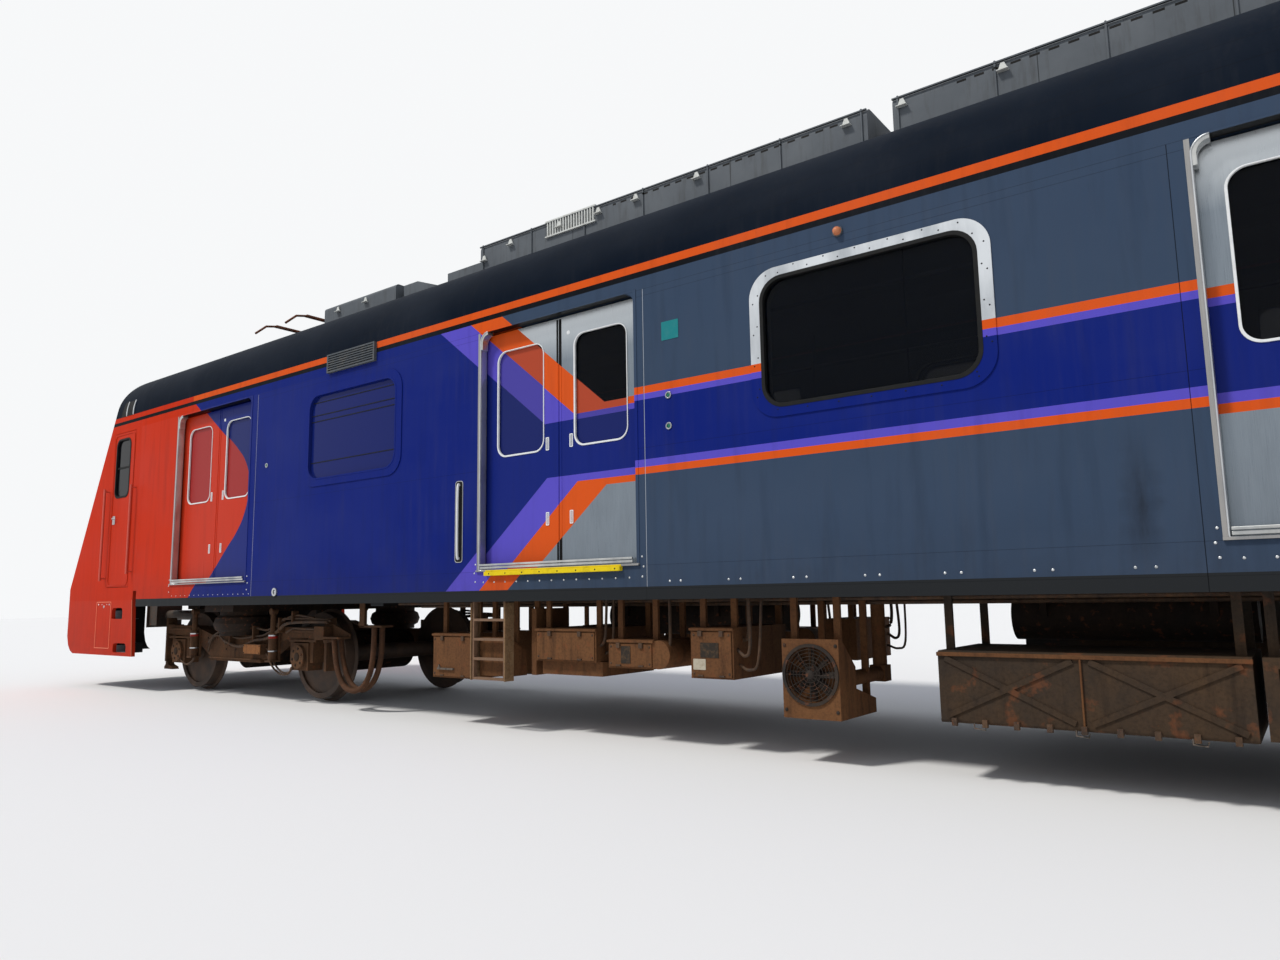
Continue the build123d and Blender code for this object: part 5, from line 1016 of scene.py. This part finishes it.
# row height and y of the rods along the floor
LONG_RODS = ((1.045, 1.19), (1.02, 1.13), (1.05, 1.08), (0.99, 0.82), (1.0, 0.74))
CATCH = ((-0.03, 1.34, 0.30), (-0.03, 1.345, 0.268), (0.03, 1.345, 0.262), (0.035, 1.345, 0.285))
for side, sgn in SIDES:
    lids, latches = Shape(sgn), Shape(sgn)
    y = CASE_Y
    for x0, x1, z0, z1 in CASES:
        lids.box(x0 + 0.012, x1 - 0.012, y, y + 0.010, z0 + 0.012, z1 - 0.03)
        lids.box(x0 - 0.006, x1 + 0.006, y - 0.02, y + 0.018, z1 - 0.022, z1 - 0.004)
        for share in (0.25, 0.75):
            cx = x0 + (x1 - x0) * share
            latches.box(cx - 0.016, cx + 0.016, y, y + 0.024, z1 - 0.06, z1 - 0.022)
            latches.rod((cx - 0.02, y + 0.016, z0 + 0.02), (cx + 0.02, y + 0.016, z0 + 0.02), 0.007, 8)
        for px in (x0 + 0.03, x1 - 0.03):
            for pz in (z0 + 0.035, z1 - 0.05):
                latches.dome((px, y + 0.010, pz), 0.009, 0.006)
    x0, x1, z0, z1 = LONG_CASE
    lids.box(x0 - 0.004, x1 + 0.004, y - 0.01, y + 0.016, z1 - 0.03, z1 - 0.008)
    lids.box(x0 + 0.74, x0 + 0.75, y, y + 0.014, z0 + 0.02, z1 - 0.03)
    for i in range(9):
        cx = x0 + 0.08 + i * 0.166
        latches.box(cx - 0.014, cx + 0.014, y, y + 0.026, z0 - 0.012, z0 + 0.03)
    lids.finish("case_lids_" + side, "case", "case_paint", bevel=0.003)
    latches.finish("case_latches_" + side, "rust_pipe", "case_paint", bevel=0.001)
    s = Shape(sgn)
    for r, pts in CONDUITS:
        s.pipe(pts, r, 8, 5)
    for z, y in LONG_RODS:
        s.rod((-4.3, y, z - RAIL), (5.5, y, z - RAIL), 0.014, 8)
    s.finish("conduits_" + side, "rust_pipe", "case_paint", smooth=True)
    # ladder side plates with bolts, hook handle, catches under the long case, blank plates and label
    for x in (-2.897, -2.503):
        s.box(x - 0.006, x + 0.006, 1.352, 1.452, 0.372, 0.99)
        for i in range(7):
            s.dome((x + 0.006, 1.385 + 0.03 * (i % 2), 0.42 + 0.09 * i), 0.009, 0.007, 6, (1, 0, 0))
    s.finish("ladder_plates_" + side, "ladder", "rail_paint", bevel=0.002)
    s.box(-3.40, -3.20, 1.362, 1.378, 0.432, 0.447)
    s.prism([(-3.40, 0.447), (-3.37, 0.447), (-3.385, 0.475)], 1.359, 1.372)
    for i in range(3):
        s.pipe([(1.12 + 0.52 * i + dx, y, z) for dx, y, z in CATCH], 0.005, 6)
    s.finish("case_hooks_" + side, "damper", "case_paint")
    s.prism(rounded(-1.395, -1.31, 0.545, 0.668, 0.004, 2), 1.3632, 1.3595)
    s.prism(rounded(-0.705, -0.56, 0.605, 0.705, 0.004, 2), 1.3632, 1.3595)
    s.finish("case_plates_" + side, "plate_dark", "case_paint")
    s.prism(rounded(-0.765, -0.665, 0.523, 0.596, 0.004, 2), 1.3628, 1.3595)
    s.finish("case_labels_" + side, "sticker", "case_paint")

# ---------------------------------------------------------------- bogie details, at the front bogie's x
FRONT_C, REAR_C = -7.15, 8.35
AXLES = (-8.45, -5.85)
DAMPERS = (-8.0, -6.30)
# radius and points (x, height) of the pipes along the frame
BOGIE_PIPES = (
    (0.013, ((-7.711, .573), (-7.587, .658), (-7.419, .708), (-7.31, .688), (-7.181, .646), (-6.994, .632),
             (-6.715, .653), (-6.522, .672), (-6.337, .739), (-6.193, .821), (-6.121, .838))),
    (0.018, ((-7.324, .601), (-7.11, .552), (-6.906, .55), (-6.673, .612), (-6.443, .636), (-6.223, .72),
             (-6.081, .792), (-5.867, .813), (-5.555, .82), (-5.32, .815))),
    (0.012, ((-6.683, .747), (-6.45, .728), (-6.193, .821), (-5.942, .882), (-5.73, .872), (-5.591, .858))),
    (0.014, ((-6.30, .745), (-6.16, .84), (-6.048, .848), (-5.798, .850), (-5.488, .845), (-5.303, .830))),
    (0.012, ((-6.10, .70), (-5.97, .747), (-5.80, .745), (-5.516, .743))),
    (0.011, ((-7.72, .47), (-7.64, .62), (-7.50, .655), (-7.38, .60), (-7.324, .56))),
    (0.010, ((-6.57, .55), (-6.532, .543), (-6.414, .495), (-6.311, .377), (-6.214, .31), (-6.102, .28),
             (-5.996, .308), (-5.955, .37))),
    (0.010, ((-6.57, .51), (-6.529, .502), (-6.449, .453), (-6.366, .355), (-6.268, .294), (-6.15, .262),
             (-6.03, .28), (-5.985, .345))),
    (0.012, ((-8.39, .45), (-8.385, .413), (-8.354, .346), (-8.232, .304), (-8.118, .33), (-8.053, .377),
             (-8.03, .44))),
)
GUSSET = ((-5.47, .78), (-5.30, .796), (-5.02, .70), (-5.02, .66), (-5.12, .645), (-5.47, .60))
FOOT = ((-8.87, .34), (-8.83, .34), (-8.80, .28), (-8.70, .255), (-8.68, .225), (-8.90, .225), (-8.90, .255),
        (-8.87, .28))
HOSES = (
    ((-4.51, .772), (-4.511, .66), (-4.52, .49), (-4.565, .32), (-4.675, .195), (-4.825, .155),
     (-4.975, .195), (-5.075, .32), (-5.13, .48), (-5.155, .655)),
    ((-4.484, .772), (-4.485, .66), (-4.49, .50), (-4.54, .33), (-4.65, .205), (-4.80, .16),
     (-4.95, .205), (-5.055, .33), (-5.115, .49), (-5.142, .655)),
)
HOSE_Y = (1.208, 1.138)
RIB_PITCH = 0.0085


def corrugated(name, pts, r):
    """Ribbed hose along a smooth route that hangs between two bodies."""
    cu = bpy.data.curves.new(name + "_route", "CURVE")
    cu.dimensions = "3D"
    sp = cu.splines.new("NURBS")
    sp.points.add(len(pts) - 1)
    for q, c in zip(sp.points, pts):
        q.co = (*c, 1.0)
    sp.order_u = 3
    sp.use_endpoint_u = True
    cu.resolution_u = 10
    ob = bpy.data.objects.new(name + "_route", cu)
    bpy.context.scene.collection.objects.link(ob)
    me = bpy.data.meshes.new_from_object(ob)
    path = [v.co.copy() for v in me.vertices]
    bpy.data.objects.remove(ob)
    gone = [0.0]
    for a, b in zip(path, path[1:]):
        gone.append(gone[-1] + (b - a).length)
    n = int(gone[-1] / RIB_PITCH)
    s = Shape()
    rows, k = [], 0
    for i in range(n + 1):
        w = gone[-1] * i / n
        while k < len(path) - 2 and gone[k + 1] < w:
            k += 1
        c = path[k].lerp(path[k + 1], (w - gone[k]) / (gone[k + 1] - gone[k]))
        d = (path[k + 1] - path[k]).normalized()
        u = d.cross(Vector((0, 1, 0))).normalized()
        rows.append(s.hoop(c, u, d.cross(u), r if i % 2 else r * 0.9, 12))
    s.skin(rows, ends=True)
    return s.finish(name, "hose", "bogie_gear", None, smooth=True), path


for which, centre, way in (("front", FRONT_C, 1), ("rear", REAR_C, -1)):
    rides = "bogie_" + which

    def along(x):
        return centre + way * (x - FRONT_C)

    for side, sgn in SIDES:
        tag = "_%s_%s" % (which, side)
        s = Shape(sgn, along)
        for r, pts in BOGIE_PIPES:
            y = 1.125 + r + (0.035 if r > 0.015 else 0.018)
            s.pipe([(x, y, z) for x, z in pts], r, 8, 4)
        s.finish("bogie_pipes" + tag, "rust_pipe", "bogie_gear", rides, smooth=True)
        # pipe clips, axle guide bars, end gusset, foot and rail under the frame
        for x, z0, z1 in ((-5.94, .80, .93), (-6.19, .70, .86), (-6.70, .60, .77), (-7.19, .54, .67)):
            s.box(x - 0.012, x + 0.012, 1.12, 1.195, z0, z1)
        for x0, x1 in ((-8.70, -8.17), (-6.06, -5.56)):
            for z in (.610, .705):
                s.box(x0, x1, 1.10, 1.150, z, z + 0.024)
        s.prism(GUSSET, 1.105, 1.125)
        s.box(-5.30, -5.02, 1.105, 1.255, .655, .675)
        s.box(-5.47, -5.30, 1.105, 1.235, .640, .775)
        s.prism(FOOT, 1.02, 1.10)
        s.box(-7.70, -6.60, 1.125, 1.160, .395, .407)
        s.finish("bogie_brackets" + tag, "bogie", "bogie_steel", rides, bevel=0.003)
        s.box(-6.815, -6.475, 1.222, 1.232, .470, .569)
        s.finish("junction_lid" + tag, "orange_box", "bogie_gear", rides, bevel=0.004)
        for x in AXLES:
            for j in range(6):
                a = math.pi / 3 * j + 0.3
                s.dome((x + way * 0.086 * math.cos(a), 1.18, .457 + 0.086 * math.sin(a)), 0.014, 0.010, 6)
            s.dome((x, 1.18, .457), 0.045, 0.014, 16)
        for x in (-6.80, -6.49):
            for z in (.482, .557):
                s.dome((x, 1.232, z), 0.008, 0.005, 6)
        for j in range(9):
            s.dome((-8.0 + j * 0.21, 1.125, .50 if 2 < j < 7 else .62), 0.012, 0.008, 6)
        s.finish("bogie_bolts" + tag, "gear", "bogie_steel", rides)
        s, pale = Shape(sgn, along), Shape(sgn, along)
        for x in DAMPERS:
            s.rod((x, 1.187, .640), (x, 1.187, .664), 0.0465, 20)
            pale.rod((x, 1.187, .664), (x, 1.187, .678), 0.0465, 20)
            pale.rod((x, 1.187, .500), (x, 1.187, .512), 0.0465, 20)
        s.finish("damper_bands" + tag, "marker_red", "bogie_gear", rides)
        pale.finish("damper_rings" + tag, "steel", "bogie_gear", rides)
        # body bracket that the hoses come from, then the two hanging hoses
        s = Shape(sgn, along)
        s.box(-4.70, -4.62, 1.235, 1.247, .775, 1.085)
        s.box(-4.70, -4.36, 1.105, 1.247, .772, .790)
        s.prism([(-4.74, .79), (-4.62, .79), (-4.62, .89), (-4.66, .89)], 1.225, 1.235)
        place = s.at
        s.finish("hose_bracket" + tag, "bogie", "underframe_steel", bevel=0.003)
        for n, (pts, y) in enumerate(zip(HOSES, HOSE_Y)):
            route = [place((x, y, z)) for x, z in pts]
            hose, path = corrugated("hose_%d%s" % (n + 1, tag), route, 0.0275)
            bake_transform(hose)

# Wire guard and bolts of the fan case
fx, fz, fy = 11.105 - 11, 0.52, 1.35
s = Shape(-1)
s.ring(circle(fx, fz, 0.192, 40), circle(fx, fz, 0.172, 40), fy + 0.012, fy - 0.004)
for k in range(1, 8):
    pts = circle(fx, fz, 0.022 * k + 0.004, 32)
    s.pipe([(px, fy + 0.011, pz) for px, pz in pts + pts[:1]], 0.0022, 5)
for (ax, az), (bx, bz) in zip(circle(fx, fz, 0.02, 12), circle(fx, fz, 0.18, 12)):
    s.rod((ax, fy + 0.008, az), (bx, fy + 0.008, bz), 0.0026, 5)
s.dome((fx, fy + 0.010, fz), 0.03, 0.008, 14)
for px in (fx - 0.175, fx + 0.175):
    for pz in (0.30, 0.70):
        s.dome((px, fy, pz), 0.012, 0.008)
s.finish("fan_guard", "fan", "fan_steel")

# ---------------------------------------------------------------- stage, light and camera
S = 90
floor_me = bpy.data.meshes.new("floor")
floor_me.from_pydata([(-S, -S, -0.002), (S, -S, -0.002), (S, S, -0.002), (-S, S, -0.002)], [], [(0, 1, 2, 3)])
floor = bpy.data.objects.new("floor", floor_me)
bpy.context.scene.collection.objects.link(floor)
floor_me.materials.append(new_material("floor_pale")[0].shade(color=(0.84, 0.84, 0.84, 1), rough=0.9, spec=0.1))
floor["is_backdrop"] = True

world = bpy.data.worlds.new("studio")
bpy.context.scene.world = world
world.use_nodes = True
t = Tree(world.node_tree)
background = world.node_tree.nodes["Background"]
rays = t.add("ShaderNodeLightPath", None).outputs
seen = t.any(rays["Is Camera Ray"], rays["Is Glossy Ray"], rays["Is Transmission Ray"])
t.put(background.inputs["Color"], t.mix(seen, (0.86, 0.91, 1.0, 1), (0.93, 0.94, 0.95, 1)))
t.put(background.inputs["Strength"], t.mixf(seen, 0.55, 1.0))

sun = bpy.data.objects.new("key", bpy.data.lights.new("key", "SUN"))
sun.data.energy = 2.3
sun.data.angle = math.radians(9)
sun.data.color = (1.0, 0.97, 0.92)
sun.rotation_euler = Vector((0.35, 0.62, -0.95)).to_track_quat("-Z", "Y").to_euler()
bpy.context.scene.collection.objects.link(sun)

# The photograph's camera: place, focal length in pixels of its width, pitch, roll and heading
EYE, FOCAL, WIDTH = (2.699, -6.495, 1.05), 890.194, 1280.0
PITCH, ROLL, HEADING = 0.13047138721987941, -0.015854829330594317, 0.6492393816246096
cam = bpy.data.objects.new("camera", bpy.data.cameras.new("camera"))
bpy.context.scene.collection.objects.link(cam)
level = math.cos(PITCH)
fwd = Vector((-math.sin(HEADING) * level, math.cos(HEADING) * level, math.sin(PITCH)))
right = fwd.cross(Vector((0, 0, 1))).normalized()
up = right.cross(fwd)
rolled_right = right * math.cos(ROLL) + up * math.sin(ROLL)
rolled_up = up * math.cos(ROLL) - right * math.sin(ROLL)
turn = Matrix((rolled_right, rolled_up, -fwd)).transposed()
cam.matrix_world = Matrix.Translation(EYE) @ turn.to_4x4()
cam.data.sensor_width = 36.0
cam.data.sensor_fit = "HORIZONTAL"
cam.data.lens = FOCAL / WIDTH * 36.0
cam.data.clip_end = 400
bpy.context.scene.camera = cam
bpy.context.scene.view_settings.view_transform = "Standard"

lo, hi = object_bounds()
